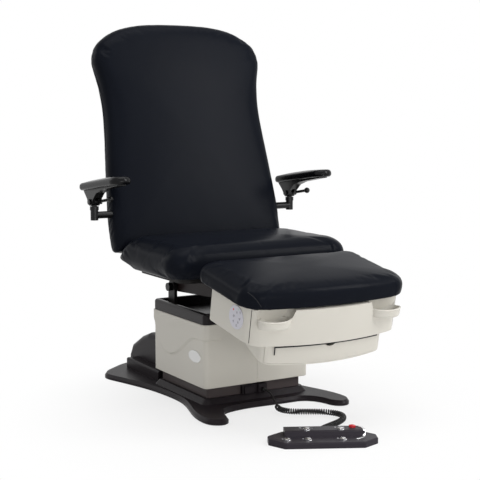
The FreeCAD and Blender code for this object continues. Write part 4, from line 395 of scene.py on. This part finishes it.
def through(points, count):
    """A closed smooth line through points, each span a cubic that leans on its neighbours."""
    p = np.array(points, float)
    before, after, beyond = (np.roll(p, k, axis=0) for k in (1, -1, -2))
    share = np.linspace(0, 1, count, endpoint=False)[None, :, None]
    a, b, c, d = (q[:, None, :] for q in (before, p, after, beyond))
    line = 0.5 * (2 * b + (c - a) * share + (2 * a - 5 * b + 4 * c - d) * share ** 2
                  + (3 * b - a - 3 * c + d) * share ** 3)
    return line.reshape(-1, 2)


def even_ring(ring, count):
    """A closed flat line in equal steps."""
    closed = np.vstack([ring, ring[:1]])
    length = np.r_[0, np.cumsum(np.linalg.norm(np.diff(closed, axis=0), axis=1))]
    wanted = np.linspace(0, length[-1], count, endpoint=False)
    return np.stack([np.interp(wanted, length, closed[:, k]) for k in range(2)], -1)


def soft_rectangle(half, low, high, low_round, high_round, bow, count):
    """A rectangle with round corners, the high end bowed out by a parabola."""
    corner = np.linspace(0, np.pi / 2, 24)
    parts = []
    for r, cy, start in ((low_round, low + low_round, -np.pi / 2),
                         (high_round, high - high_round, 0.0)):
        parts.append(np.stack([half - r + r * np.cos(start + corner),
                               cy + r * np.sin(start + corner)], -1))
    right = np.vstack(parts)
    share = np.clip((right[:, 1] - (low + high) / 2) / ((high - low) / 2), 0, 1) ** 2
    right[:, 1] += bow * share * (1 - (right[:, 0] / half) ** 2)
    top = np.linspace(half - high_round, 0, 12)[1:]
    right = np.vstack([right, np.stack([top, high + bow * (1 - (top / half) ** 2)], -1)])
    left = right[::-1][1:] * [-1, 1]
    return even_ring(np.vstack([right, left]), count)


WAIST_SHARE = 0.42
DOME_POWER = 0.9


def padded_grid(outline, bottom, top, crown, edge, tuck, place, wide=1.0, power=2.4):
    """Rings of the outline, drawn in below by a tuck, full at the waist, rounded over the
    edge as a superellipse, then rising as a flat dome to the middle. The shoulder on the two
    long sides is wider than the edge by a share."""
    low, high = outline.min(0), outline.max(0)
    middle, half = (low + high) / 2, (high - low) / 2
    waist = bottom + (top - bottom) * WAIST_SHARE
    a = np.linspace(0, np.pi / 2, 14)
    under = np.stack([bottom + (waist - bottom) * (1 - np.cos(a)), tuck * (1 - np.sin(a))],
                     -1)
    a = np.linspace(0, np.pi / 2, 24)[1:]
    rise_share = np.sin(a) ** (2 / power)
    inward = 1 - np.cos(a) ** (2 / power)
    over = np.stack([waist + (top - waist) * rise_share, edge * inward], -1)
    inset = np.r_[under[:, 1], over[:, 1]]
    spread = np.r_[np.ones(len(under)), np.full(len(over), wide)]
    scale = np.stack([1 - inset * spread / half[0], 1 - inset / half[1]], -1)
    level = np.r_[under[:, 0], over[:, 0]]
    flat = np.linspace(0, 1, 8)[:-1, None]
    dome = np.linspace(0, 1, 32)[1:, None] ** DOME_POWER
    scale = np.vstack([scale[0] * flat, scale, scale[-1] * (1 - dome)])
    level = np.r_[np.full(7, bottom), level, top + crown * (1 - (1 - dome[:, 0]) ** 2)]
    rings = middle + (outline[None] - middle) * scale[:, None, :]
    heights = np.repeat(level[:, None], len(outline), axis=1)
    return place(rings[..., 0], rings[..., 1], heights), rings, heights


VOXEL = 0.006
PRESSURE = 4.0
LAST_FRAME = 20
CLOTH_START = 0.0040


def swell(piece, height_of, held_below, cap):
    """Cloth blown up from inside: the underside is held, and no point moves past a cap."""
    scene = bpy.context.scene
    remesh = piece.modifiers.new("remesh", "REMESH")
    remesh.mode = "VOXEL"
    remesh.voxel_size = VOXEL
    bpy.context.view_layer.update()
    rebuilt = bpy.data.meshes.new_from_object(
        piece.evaluated_get(bpy.context.evaluated_depsgraph_get()))
    piece.modifiers.clear()
    old = piece.data
    piece.data = rebuilt
    bpy.data.meshes.remove(old)
    start = mesh_points(rebuilt)
    held = piece.vertex_groups.new(name="held")
    held.add(np.flatnonzero(height_of(start) < held_below).tolist(), 1.0, "REPLACE")
    cloth = piece.modifiers.new("cloth", "CLOTH")
    cloth.settings.quality = 4
    cloth.settings.mass = 0.3
    cloth.settings.tension_stiffness = 12
    cloth.settings.compression_stiffness = 12
    cloth.settings.bending_stiffness = 0.6
    cloth.settings.use_pressure = True
    cloth.settings.uniform_pressure_force = PRESSURE
    cloth.settings.vertex_group_mass = "held"
    cloth.settings.effector_weights.gravity = 0.0
    cloth.collision_settings.use_collision = False
    cloth.point_cache.frame_start = 1
    cloth.point_cache.frame_end = LAST_FRAME
    for step in range(1, LAST_FRAME + 1):
        scene.frame_set(step)
    blown = bpy.data.meshes.new_from_object(
        piece.evaluated_get(bpy.context.evaluated_depsgraph_get()))
    end = mesh_points(blown)
    bpy.data.meshes.remove(blown)
    piece.modifiers.clear()
    piece.vertex_groups.clear()
    scene.frame_set(1)
    move = end - start
    far = np.linalg.norm(move, axis=1, keepdims=True)
    move *= cap * np.tanh(far / cap) / np.maximum(far, 1e-9)
    place_points(rebuilt, start + move)
    rebuilt.polygons.foreach_set("use_smooth", np.ones(len(rebuilt.polygons), bool))


def mesh_points(mesh):
    points = np.zeros(len(mesh.vertices) * 3, np.float32)
    mesh.vertices.foreach_get("co", points)
    return points.reshape(-1, 3).astype(float)


def place_points(mesh, points):
    mesh.vertices.foreach_set("co", points.astype(np.float32).ravel())
    mesh.update()


def mesh_normals(mesh):
    normals = np.zeros(len(mesh.vertices) * 3, np.float32)
    mesh.vertex_normals.foreach_get("vector", normals)
    return normals.reshape(-1, 3).astype(float)


def crease(mesh, spots):
    """Small folds: a hollow as a bell curve across a line, fading along it, beside a ridge.
    Each spot is its middle, the way it runs, its width, its length and its depth."""
    points, normals = mesh_points(mesh), mesh_normals(mesh)
    move = np.zeros(len(points))
    for middle, way, width, length, depth in spots:
        way = np.array(way, float) / np.linalg.norm(way)
        apart = points - np.array(middle)
        along = apart @ way
        square = apart - along[:, None] * way
        square -= (square * normals).sum(1, keepdims=True) * normals
        over = np.cross(normals, way)
        over /= np.maximum(np.linalg.norm(over, axis=1, keepdims=True), 1e-6)
        aside = (square * over).sum(1)
        near = np.exp(-(along / length) ** 2) * np.exp(-((apart * normals).sum(1) / 0.03) ** 2)
        move += near * depth * (0.7 * np.exp(-((aside - 1.6 * width) / width) ** 2)
                                - np.exp(-(aside / width) ** 2))
    place_points(mesh, points + normals * move[:, None])


def cushion(name, shape, body, node, height_of, low, cap, folds=()):
    outline, bottom, top, crown, edge, tuck, place, wide = shape
    slim = -CLOTH_START
    line = inset_line(outline, slim)
    grid, _, _ = padded_grid(line, bottom, top - slim, crown, edge, tuck, place, wide)
    piece = piece_from_grid(name, grid, VINYL, body, closed=(False, True),
                            caps=True)
    swell(piece, height_of, low, cap)
    crease(piece.data, folds)
    finer = piece.modifiers.new("finer", "SUBSURF")
    finer.levels = finer.render_levels = 1
    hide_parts(node)
    return piece


def inset_line(line, inset):
    """A closed line drawn in by a distance, scaled about its middle."""
    low, high = line.min(0), line.max(0)
    middle, half = (low + high) / 2, (high - low) / 2
    return middle + (line - middle) * (1 - inset / half)


SEAT_LOW, SEAT_TOP, SEAT_REAR, SEAT_FRONT = 0.4655, 0.568, 0.183, -0.245
SEAT_TAIL = 0.064
CUSHION_HALF = 0.358
SEAT_TAIL_SHARES = np.array([
    (0.0, -1.2), (0.06, -0.95), (0.13, 0.0), (0.225, 0.92), (0.30, 0.70), (0.45, 0.25),
    (0.60, 0.05), (0.76, -0.30), (0.89, -0.52), (1.0, -0.62), (1.2, -0.62)])


def on_seat(across, along, up):
    """A point of the seat. Its rear end runs back under the back cushion to a rounded tail,
    by a share of the tail that follows its height, and its rear corners are drawn in."""
    half = (SEAT_REAR - SEAT_FRONT) / 2
    part = np.maximum(0, (along - SEAT_REAR + half) / half)
    share = np.interp((up - SEAT_LOW) / (SEAT_TOP - SEAT_LOW), SEAT_TAIL_SHARES[:, 0],
                      SEAT_TAIL_SHARES[:, 1])
    share = np.where(share < 0, share * (across / CUSHION_HALF) ** 4, share)
    return np.stack([across, along + SEAT_TAIL * share * part ** 2, up], -1)


seat_line = soft_rectangle(CUSHION_HALF, SEAT_FRONT, SEAT_REAR, 0.060, 0.060, 0.0, 260)
seat_cushion = cushion(
    "seat_upholstery", (seat_line, SEAT_LOW, SEAT_TOP, 0.008, 0.050, 0.038, on_seat, 1.5),
    "chair", "seat_cushion", lambda points: points[:, 2], 0.470, 0.007,
    [((-0.352, 0.120, 0.53), (0.2, 1, 0.5), 0.005, 0.030, 0.0018),
     ((-0.350, 0.150, 0.52), (0.2, 1, 0.9), 0.004, 0.025, 0.0016)])

BACK_LINE = [
    (0.70, -0.0577), (0.93, -0.0564), (0.982, -0.0499), (0.996, -0.029), (1.0, 0.0323),
    (0.997, 0.1002), (0.964, 0.2505), (0.919, 0.4484), (0.9355, 0.560), (0.983, 0.6488),
    (0.9636, 0.6997), (0.880, 0.7401), (0.6883, 0.7797), (0.4474, 0.7999), (0.1966, 0.8064),
]
right_side = [(w * CUSHION_HALF, s) for w, s in BACK_LINE]
back_line = even_ring(through(right_side + [(-w, s) for w, s in reversed(right_side)], 12),
                      300)


def side_fold(up, out, tilt, width, length, depth, sign=-1):
    """A fold on the back's side wall, at a height along it and a way out from its middle."""
    half = np.interp(up, [s for _, s in BACK_LINE[4:10]], [w for w, _ in BACK_LINE[4:10]])
    spot = on_back(np.array(sign * half * CUSHION_HALF), np.array(up), np.array(out))
    ahead = on_back(np.array(0.0), np.array(tilt), np.array(1.0)) - on_back(
        np.array(0.0), np.array(0.0), np.array(0.0))
    return tuple(spot), tuple(ahead), width, length, depth


back_folds = [
    side_fold(0.015, 0.006, 0.9, 0.0045, 0.016, 0.0022),
    side_fold(0.035, 0.000, 0.7, 0.0040, 0.014, 0.0020),
    side_fold(0.058, 0.004, 0.8, 0.0050, 0.018, 0.0022),
    side_fold(0.085, -0.004, 0.5, 0.0045, 0.015, 0.0017),
    side_fold(0.112, 0.002, 0.6, 0.0050, 0.016, 0.0014),
    side_fold(0.150, -0.002, 0.5, 0.0050, 0.014, 0.0010),
    side_fold(0.300, 0.004, 0.4, 0.0050, 0.014, 0.0008),
    side_fold(0.020, 0.004, 0.9, 0.0045, 0.016, 0.0020, 1),
    side_fold(0.048, 0.000, 0.7, 0.0045, 0.015, 0.0018, 1),
    side_fold(0.092, 0.002, 0.6, 0.0050, 0.016, 0.0014, 1),
]
back_cushion = cushion(
    "back_upholstery", (back_line, -0.028, 0.036, 0.008, 0.030, 0.016, on_back, 1.2), "back",
    "back_cushion", out_of_back, -0.024, 0.007, back_folds)

leg_line = soft_rectangle(0.312, -0.026, 0.290, 0.030, 0.060, 0.032, 260)
leg_cushion = cushion(
    "leg_upholstery", (leg_line, 0.0193, 0.081, 0.011, 0.028, 0.012, on_leg, 2.3),
    "foot_slide", "leg_cushion", up_from_leg, 0.0225, 0.006)

for side, sign in (("left", -1), ("right", 1)):
    pad_line = soft_rectangle(0.039, -0.332, 0.0, 0.0385, 0.0385, 0.0, 160)
    pad_line[:, 0] += sign * 0.418
    pad_grid, _, _ = padded_grid(pad_line, 0.0003, 0.027, 0.006, 0.012, 0.008, on_pad)
    pad = piece_from_grid("arm_pad_skin_" + side, pad_grid, FINISHES["pad_black"],
                          "armrest_" + side, closed=(False, True), caps=True)
    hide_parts("arm_pad_" + side)


# Column covers: two halves with a proud band over a wave

COVER_HALF = (0.211, 0.195)
COVER_LOW, COVER_HIGH = 0.078, 0.301
COVER_ROUND = 0.016
COVER_WALL = 0.004
COVER_EDGE = 0.0018
BAND_PROUD = 0.0055
BAND_FRONT_X = 0.148
WAVE = np.array([(0.2014, 0.292), (0.179, 0.2605), (0.165, 0.214), (0.142, 0.186),
                 (0.098, 0.159), (0.058, 0.157), (0.024, 0.166), (-0.010, 0.181),
                 (-0.044, 0.204), (-0.072, 0.222), (-0.100, 0.237), (-0.124, 0.2455),
                 (-0.150, 0.247), (-0.210, 0.247)])


def wave_height(y):
    """The wave's height over the side: a smooth line through its points, front to rear."""
    order = WAVE[::-1]
    fine = np.linspace(order[0, 0], order[-1, 0], 400)
    line = np.interp(fine, order[:, 0], order[:, 1])
    width = 9
    padded = np.pad(line, width, mode="edge")
    line = np.convolve(padded, np.hanning(2 * width + 1) / np.hanning(2 * width + 1).sum(),
                       mode="valid")
    return np.interp(y, fine, line)


def rise(value):
    """0 to 1 as a cubic with flat ends."""
    value = np.clip(value, 0, 1)
    return value * value * (3 - 2 * value)


def cover_skin(name, sign, node):
    """Half a tube: a section of the wall, outer face up and inner face down, carried round
    a rounded rectangle. The outer face stands out by a cubic step above the wave."""
    half_x, half_y = COVER_HALF
    corner = np.linspace(0, np.pi / 2, 14)
    bend = COVER_ROUND * np.stack([np.sin(corner), np.cos(corner)], -1)
    front = np.linspace(0.0002, half_x - COVER_ROUND, 74)[:-1]
    side = np.linspace(-half_y + COVER_ROUND, half_y - COVER_ROUND, 132)[1:-1]
    parts = [np.stack([front, np.full(73, -half_y)], -1),
             np.stack([half_x - COVER_ROUND + bend[:, 0],
                       -half_y + COVER_ROUND - bend[:, 1]], -1),
             np.stack([np.full(130, half_x), side], -1),
             np.stack([half_x - COVER_ROUND + bend[::-1, 0],
                       half_y - COVER_ROUND + bend[::-1, 1]], -1),
             np.stack([front[::-1], np.full(73, half_y)], -1)]
    ways = [np.tile([0.0, -1.0], (73, 1)),
            np.stack([np.sin(corner), -np.cos(corner)], -1),
            np.tile([1.0, 0.0], (130, 1)),
            np.stack([np.cos(corner), np.sin(corner)], -1),
            np.tile([0.0, 1.0], (73, 1))]
    path, way = np.vstack(parts), np.vstack(ways)
    height = np.r_[0.0, 0.0006, 0.0018,
                   np.linspace(0.004, COVER_HIGH - COVER_LOW - 0.004, 138),
                   COVER_HIGH - COVER_LOW - np.array([0.0018, 0.0006, 0.0])] + COVER_LOW
    edge = np.minimum(height - COVER_LOW, COVER_HIGH - height)
    soft = COVER_EDGE * (1 - np.sqrt(1 - (1 - np.clip(edge / COVER_EDGE, 0, 1)) ** 2))
    x, y = path[:, 0:1], path[:, 1:2]
    line = wave_height(y)
    slope = (wave_height(y - 0.002) - wave_height(y + 0.002)) / 0.004
    over = (height[None] - line) / np.sqrt(1 + slope ** 2)
    blend = 0.0035 + 0.009 * rise(slope / 0.7)
    lift = rise(over / blend + 0.5)
    on_front = (x < half_x - COVER_ROUND * 0.5) & (y < 0)
    lift = np.where(on_front, lift * rise((x - BAND_FRONT_X) / 0.003 + 0.5), lift)
    lift = np.where((x < half_x - COVER_ROUND) & (y > 0), 0.0, lift)
    seam = 0.0012 * (1 - rise((x - 0.0002) / 0.0016))
    push = BAND_PROUD * lift - soft[None] - seam
    outer = np.concatenate([
        path[:, None, :] + way[:, None, :] * push[..., None],
        np.broadcast_to(height[None, :, None], push.shape + (1,))], -1)
    inner = np.concatenate([
        np.repeat(path[:, None, :] - way[:, None, :] * COVER_WALL, 6, axis=1),
        np.broadcast_to(np.linspace(COVER_HIGH, COVER_LOW, 6)[None, :, None],
                        (len(path), 6, 1))], -1)
    grid = np.concatenate([outer, inner], 1)
    grid[..., 0] *= sign
    piece = piece_from_grid(name, grid, FINISHES["cover_ivory"], "carriage",
                            closed=(False, True), caps=True)
    smooth_by_angle(piece)
    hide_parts(node)
    return piece


def smooth_by_angle(piece, limit=50.0):
    """Edges sharper than a limit stay crisp."""
    mesh = piece.data
    mesh.set_sharp_from_angle(angle=math.radians(limit))


for side, sign in (("left", -1), ("right", 1)):
    cover_skin("cover_skin_" + side, sign, "cover_" + side)


# Foot control: button rings, the stop's silver band and plain printed arrows

DECK_LOW, DECK_HIGH = 0.019, 0.035
BUTTON_RING = 0.0107
BUTTONS = {
    "chair_up": (-0.1152, -0.0363, DECK_LOW), "chair_down": (-0.0499, -0.0363, DECK_LOW),
    "back_up": (0.0585, -0.0363, DECK_LOW), "back_down": (-0.0499, 0.0198, DECK_HIGH),
    "home": (0.0585, 0.0198, DECK_HIGH),
}


def button_ring(label, spot):
    """A thin bright crescent: a tube round part of the button, thinning to both ends."""
    along, across, level = spot
    angle = np.radians(np.linspace(-75, 150, 60))
    radius = BUTTON_RING
    path = on_pedal(along + radius * np.cos(angle), across + radius * np.sin(angle),
                    np.full(60, level + 0.0009))
    thick = 0.0017 * np.sin(np.linspace(0.12, np.pi - 0.12, 60)) ** 0.6
    piece_from_grid("button_ring_" + label, tube(path, thick, 12),
                    FINISHES["silver_trim"], "base",
                    closed=(False, True), caps=True)


for label, spot in BUTTONS.items():
    button_ring(label, spot)


def deck_height(across):
    """The foot control's top: low in front, a straight slope, then the raised deck."""
    return DECK_LOW + (DECK_HIGH - DECK_LOW) * np.clip((across + 0.004) / 0.017, 0, 1)


def silver_band():
    """A flat band round the stop: a rounded strip carried along an arc over the deck."""
    angle = np.radians(np.linspace(62, -78, 70))
    along = 0.092 + 0.041 * np.cos(angle)
    across = 0.018 + 0.050 * np.sin(angle)
    middle = on_pedal(along, across, deck_height(across) + 0.0006)
    way = np.gradient(middle, axis=0)
    way /= np.linalg.norm(way, axis=1, keepdims=True)
    side = np.cross(way, [0, 0, 1])
    side /= np.linalg.norm(side, axis=1, keepdims=True)
    up = np.cross(side, way)
    turn = np.linspace(0, 2 * np.pi, 20, endpoint=False)
    wide, thick = 0.0042, 0.0011
    flat = np.sign(np.cos(turn)) * np.abs(np.cos(turn)) ** 0.6
    tall = np.sign(np.sin(turn)) * np.abs(np.sin(turn)) ** 0.6
    taper = np.clip(np.minimum(np.arange(70), np.arange(70)[::-1]) / 6.0, 0.25, 1) ** 0.5
    grid = (middle[:, None] + side[:, None] * (wide * taper[:, None] * flat)[..., None]
            + up[:, None] * (thick * tall)[None, :, None])
    band = piece_from_grid("stop_silver_band", grid, FINISHES["silver_trim"], "base",
                           closed=(False, True), caps=True)
    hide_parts("foot_control_arc")


silver_band()


def printed(name, shapes, place, material, body, thick=0.0003):
    """Flat shapes given as rings of corners, each raised by a thin layer of paint."""
    points, faces, count = [], [], 0
    for ring in shapes:
        ring = np.array(ring, float)
        n = len(ring)
        low = place(ring[:, 0], ring[:, 1], np.zeros(n))
        high = place(ring[:, 0], ring[:, 1], np.full(n, thick))
        points.append(np.vstack([low, high]))
        faces.append(list(range(count + n - 1, count - 1, -1)))
        faces.append(list(range(count + n, count + 2 * n)))
        for k in range(n):
            m = (k + 1) % n
            faces.append([count + k, count + m, count + n + m, count + n + k])
        count += 2 * n
    mesh = bpy.data.meshes.new(name)
    mesh.from_pydata(np.vstack(points).tolist(), [], faces)
    mesh.validate()
    outward(mesh)
    piece = bpy.data.objects.new(name, mesh)
    bpy.context.collection.objects.link(piece)
    mesh.materials.append(material)
    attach(piece, body)
    return piece


def arrow(x, y, size, turn):
    """A triangle on a short stem, turned about its middle."""
    shape = np.array([(-0.18, -0.5), (0.18, -0.5), (0.18, 0.0), (0.5, 0.0), (0.0, 0.6),
                      (-0.5, 0.0), (-0.18, 0.0)]) * size
    c, s = math.cos(turn), math.sin(turn)
    return np.stack([x + shape[:, 0] * c - shape[:, 1] * s,
                     y + shape[:, 0] * s + shape[:, 1] * c], -1)


def bar(x, y, long, wide, turn=0.0):
    """An oblong, turned about its middle."""
    shape = np.array([(-0.5, -0.5), (0.5, -0.5), (0.5, 0.5), (-0.5, 0.5)]) * (long, wide)
    c, s = math.cos(turn), math.sin(turn)
    return np.stack([x + shape[:, 0] * c - shape[:, 1] * s,
                     y + shape[:, 0] * s + shape[:, 1] * c], -1)


def disc(x, y, radius, count=20):
    """A round dot."""
    turn = np.linspace(0, 2 * np.pi, count, endpoint=False)
    return np.stack([x + radius * np.cos(turn), y + radius * np.sin(turn)], -1)


def on_deck(along, across, up):
    return on_pedal(along, across, DECK_HIGH + 0.0001 + up)


def on_low_deck(along, across, up):
    return on_pedal(along, across, DECK_LOW + 0.0001 + up)


printed("deck_arrows", [
    arrow(-0.066, 0.044, 0.010, 0.5), bar(-0.054, 0.043, 0.009, 0.002, 0.5),
    arrow(-0.038, 0.045, 0.008, 3.6), bar(-0.030, 0.040, 0.007, 0.0018, -0.3),
    arrow(0.046, 0.046, 0.009, 0.0), bar(0.058, 0.047, 0.010, 0.002, 0.9),
    arrow(0.072, 0.045, 0.009, 3.14)], on_deck, MARKS, "base")
printed("low_deck_arrows", [
    arrow(-0.128, -0.020, 0.007, 0.0), arrow(-0.064, -0.021, 0.007, 3.14),
    arrow(0.044, -0.021, 0.007, 0.4)], on_low_deck, MARKS, "base")


# Keypad: plain key marks and two lamps

def on_keypad(ahead, up, out):
    return np.stack([-0.2885 - 0.0001 - out, -ahead, up + 0 * out], -1)


printed("keypad_marks", [
    arrow(0.542, 0.408, 0.008, 0.0), arrow(0.562, 0.411, 0.008, 3.14),
    arrow(0.521, 0.3935, 0.008, 0.8), bar(0.526, 0.397, 0.010, 0.0022, -0.6),
    arrow(0.560, 0.391, 0.008, 2.4), bar(0.5555, 0.3885, 0.009, 0.0022, -0.6),
    arrow(0.5195, 0.3775, 0.008, 0.0), arrow(0.548, 0.378, 0.009, 3.14),
    bar(0.538, 0.365, 0.009, 0.0024), bar(0.538, 0.3695, 0.006, 0.0022)],
    on_keypad, finish("key_print", (0.30, 0.29, 0.33), 0.5, mottle=0.02), "leg")
printed("keypad_lamp", [disc(0.5215, 0.4155, 0.0032)], on_keypad, MARK_RED, "leg",
        0.0006)
printed("keypad_lamp_ready", [disc(0.552, 0.4185, 0.0028)], on_keypad,
        finish("lamp_green", (0.45, 0.62, 0.55), 0.4, mottle=0.02), "leg",
        0.0006)


# Leg section: handle lips, and dark strips of painted shade along the front panel's joint and
# the tray's slot

def handle_lip(name, sign):
    """A thin rounded lip: a tube along the front of the dish's oval mouth, thinner at its
    two ends where it runs into the panel."""
    turn = np.radians(np.linspace(-100, 100, 120))
    path = on_leg(sign * (0.212 + 0.0545 * np.sin(turn)), 0.302 + 0.0325 * np.cos(turn),
                  np.full(120, -0.0118))
    thick = 0.0034 * np.clip(np.minimum(np.arange(120), np.arange(120)[::-1]) / 14, 0.3, 1)
    piece_from_grid(name, tube(path, thick, 14), FINISHES["cover_ivory"], "foot_slide",
                    closed=(False, True), caps=True)


handle_lip("handle_lip_left", -1)
handle_lip("handle_lip_right", 1)


def strip(name, path, wide, thick, out, material, body):
    """A flat strip: a thin oblong section carried along a path, square to a way out."""
    way = np.gradient(path, axis=0)
    way /= np.linalg.norm(way, axis=1, keepdims=True)
    out = out - (out * way).sum(1, keepdims=True) * way
    out /= np.linalg.norm(out, axis=1, keepdims=True)
    side = np.cross(way, out)
    corners = np.array([(-1, -1), (1, -1), (1, 1), (-1, 1)]) * 0.5
    grid = (path[:, None] + side[:, None] * (corners[:, 0] * wide)[None, :, None]
            + out[:, None] * (corners[:, 1] * thick)[None, :, None])
    piece = piece_from_grid(name, grid, material, body, closed=(False, True),
                            caps=True)
    piece.data.polygons.foreach_set("use_smooth", np.zeros(len(piece.data.polygons), bool))
    return piece


def leg_points(node):
    """A node's own corners in the leg section's terms: across, forward and up."""
    points = mesh_points(frame["nodes"][node].data)
    c, s = math.cos(LEG_SLOPE), math.sin(LEG_SLOPE)
    y, z = points[:, 1] - LEG_PIVOT[1], points[:, 2] - LEG_PIVOT[2]
    return np.stack([points[:, 0], -y * c - z * s, -y * s + z * c], -1)


SPLIT = 0.26815
edge_points = leg_points("front_panel")
edge_points = edge_points[np.abs(edge_points[:, 1] - edge_points[:, 1].min()) < 0.0004]
split_half = float(np.abs(edge_points[:, 0]).max())
# Dark strips along the split on both sides: painted shade, standing in for the shadow in the
# gap between the housing and the front panel.
for side, sign in (("left", -1), ("right", 1)):
    up = np.linspace(0.014, -0.094, 40)
    path = on_leg(np.full(40, sign * (split_half + 0.0002)), np.full(40, SPLIT), up)
    out = np.tile([sign * 1.0, 0.0, 0.0], (40, 1))
    strip("panel_joint_shade_" + side, path, 0.0016, 0.0012, out, FINISHES["cord_black"],
          "leg")


def bay_front(across):
    """How far forward the bay's front stands: a parabola that bows it out in the middle."""
    return 0.288 + 0.026 * (1 - (across / 0.234) ** 2)


# A dark strip along the tray's slot and a short one down its left end: painted shade, standing
# in for the shadow in the slot.
across = np.linspace(-0.196, 0.196, 90)
slot_path = on_leg(across, bay_front(across) + 0.0016, np.full(90, -0.1060))
slot_out = np.stack([0.22 * across / 0.234, np.full(90, -1.0), np.full(90, -0.17)], -1)
strip("tray_slot_shade", slot_path, 0.0042, 0.002, slot_out, FINISHES["cord_black"], "tray")
end_up = np.linspace(-0.1052, -0.132, 14)
end_path = on_leg(np.full(14, -0.197), np.full(14, bay_front(0.197) + 0.0012), end_up)
strip("tray_slot_end_shade", end_path, 0.0034, 0.002, np.tile([0.0, -1.0, -0.17], (14, 1)),
      FINISHES["cord_black"], "tray")


# Cushion seams, laid on the swollen surfaces

def seam(name, piece, guide, body, count=70, radius=0.0007):
    """A stitched seam: a fine cord along the nearest points of the cushion to a guide."""
    found = [piece.closest_point_on_mesh(tuple(spot)) for spot in even(np.array(guide), count)]
    path = np.array([np.array(place) for _, place, _, _ in found])
    kernel = np.hanning(9) / np.hanning(9).sum()
    padded = np.pad(path, ((4, 4), (0, 0)), mode="edge")
    path = np.stack([np.convolve(padded[:, k], kernel, mode="valid") for k in range(3)], -1)
    piece_from_grid(name, tube(path, radius, 8), SEAM, body,
                    closed=(False, True), caps=True)


for side, sign in (("left", -1), ("right", 1)):
    seam("leg_corner_seam_" + side, leg_cushion, on_leg(
        sign * np.array([0.262, 0.276, 0.288, 0.297]),
        np.array([0.300, 0.292, 0.280, 0.262]), np.array([0.030, 0.052, 0.066, 0.074])),
        "foot_slide", 40)


# Floor, light and background

def seen_directly(nodes, links):
    """1 where a camera, glossy or transmission ray sees the backdrop."""
    path = nodes.new("ShaderNodeLightPath")
    total = path.outputs["Is Camera Ray"]
    for kind in ("Is Glossy Ray", "Is Transmission Ray"):
        either = nodes.new("ShaderNodeMath")
        either.operation = "MAXIMUM"
        links.new(total, either.inputs[0])
        links.new(path.outputs[kind], either.inputs[1])
        total = either.outputs[0]
    return total


def plain_floor():
    """A pale floor that keeps the shadow near the chair and turns white away from it."""
    mesh = bpy.data.meshes.new("floor")
    mesh.from_pydata([(-9, -9, 0), (9, -9, 0), (9, 9, 0), (-9, 9, 0)], [], [(0, 1, 2, 3)])
    floor = bpy.data.objects.new("floor", mesh)
    bpy.context.collection.objects.link(floor)
    material = bpy.data.materials.new("floor_white")
    material.use_nodes = True
    nodes, links = material.node_tree.nodes, material.node_tree.links
    shader = nodes["Principled BSDF"]
    shader.inputs["Base Color"].default_value = (0.92, 0.92, 0.92, 1)
    shader.inputs["Roughness"].default_value = 0.9
    shader.inputs["Specular IOR Level"].default_value = 0.1
    seen = seen_directly(nodes, links)
    place = nodes.new("ShaderNodeTexCoord")
    centre = nodes.new("ShaderNodeVectorMath")
    centre.operation = "SUBTRACT"
    centre.inputs[1].default_value = (0.0, -0.25, 0.0)
    links.new(place.outputs["Object"], centre.inputs[0])
    away = nodes.new("ShaderNodeVectorMath")
    away.operation = "LENGTH"
    links.new(centre.outputs["Vector"], away.inputs[0])
    fade = nodes.new("ShaderNodeMapRange")
    fade.interpolation_type = "SMOOTHSTEP"
    fade.inputs["From Min"].default_value = 0.30
    fade.inputs["From Max"].default_value = 0.95
    fade.inputs["To Min"].default_value = 0.72
    links.new(away.outputs["Value"], fade.inputs["Value"])
    only = nodes.new("ShaderNodeMath")
    only.operation = "MULTIPLY"
    links.new(fade.outputs["Result"], only.inputs[0])
    links.new(seen, only.inputs[1])
    white = nodes.new("ShaderNodeEmission")
    mix = nodes.new("ShaderNodeMixShader")
    links.new(only.outputs[0], mix.inputs["Fac"])
    links.new(shader.outputs["BSDF"], mix.inputs[1])
    links.new(white.outputs["Emission"], mix.inputs[2])
    links.new(mix.outputs["Shader"], nodes["Material Output"].inputs["Surface"])
    mesh.materials.append(material)
    return floor


plain_floor()
world = bpy.data.worlds.new("studio")
bpy.context.scene.world = world
world.use_nodes = True
nodes, links = world.node_tree.nodes, world.node_tree.links
nodes["Background"].inputs["Color"].default_value = (1, 1, 1, 1)
nodes["Background"].inputs["Strength"].default_value = 0.40
white = nodes.new("ShaderNodeBackground")
white.inputs["Color"].default_value = (1, 1, 1, 1)
white.inputs["Strength"].default_value = 1.0
mix = nodes.new("ShaderNodeMixShader")
links.new(seen_directly(nodes, links), mix.inputs["Fac"])
links.new(nodes["Background"].outputs["Background"], mix.inputs[1])
links.new(white.outputs["Background"], mix.inputs[2])
links.new(mix.outputs["Shader"], nodes["World Output"].inputs["Surface"])


def softbox(name, place, aim_at, width, height, power):
    """An oblong lamp at a place, turned to a point."""
    data = bpy.data.lights.new(name, "AREA")
    data.shape = "RECTANGLE"
    data.size, data.size_y = width, height
    data.energy = power
    lamp = bpy.data.objects.new(name, data)
    bpy.context.collection.objects.link(lamp)
    lamp.location = place
    way = np.array(aim_at, float) - np.array(place, float)
    way /= np.linalg.norm(way)
    across = np.cross(way, [0, 0, 1])
    across /= np.linalg.norm(across)
    top = np.cross(across, way)
    turned = lamp.matrix_world.copy()
    for k in range(3):
        turned[k][0], turned[k][1], turned[k][2] = across[k], top[k], -way[k]
        turned[k][3] = place[k]
    lamp.matrix_world = turned


softbox("overhead", (0.0, -0.6, 3.2), (0.0, 0.0, 0.5), 2.4, 2.0, 40)
softbox("right_front", (1.85, -2.3, 2.2), (0.1, 0.3, 0.95), 0.5, 1.7, 46)
softbox("front_fill", (-0.4, -3.4, 0.50), (0.0, -0.2, 0.22), 1.8, 0.7, 20)
softbox("rear_left", (-2.6, 2.6, 2.4), (-0.1, 0.0, 0.6), 1.6, 1.8, 16)

bpy.context.scene.view_settings.view_transform = "Standard"
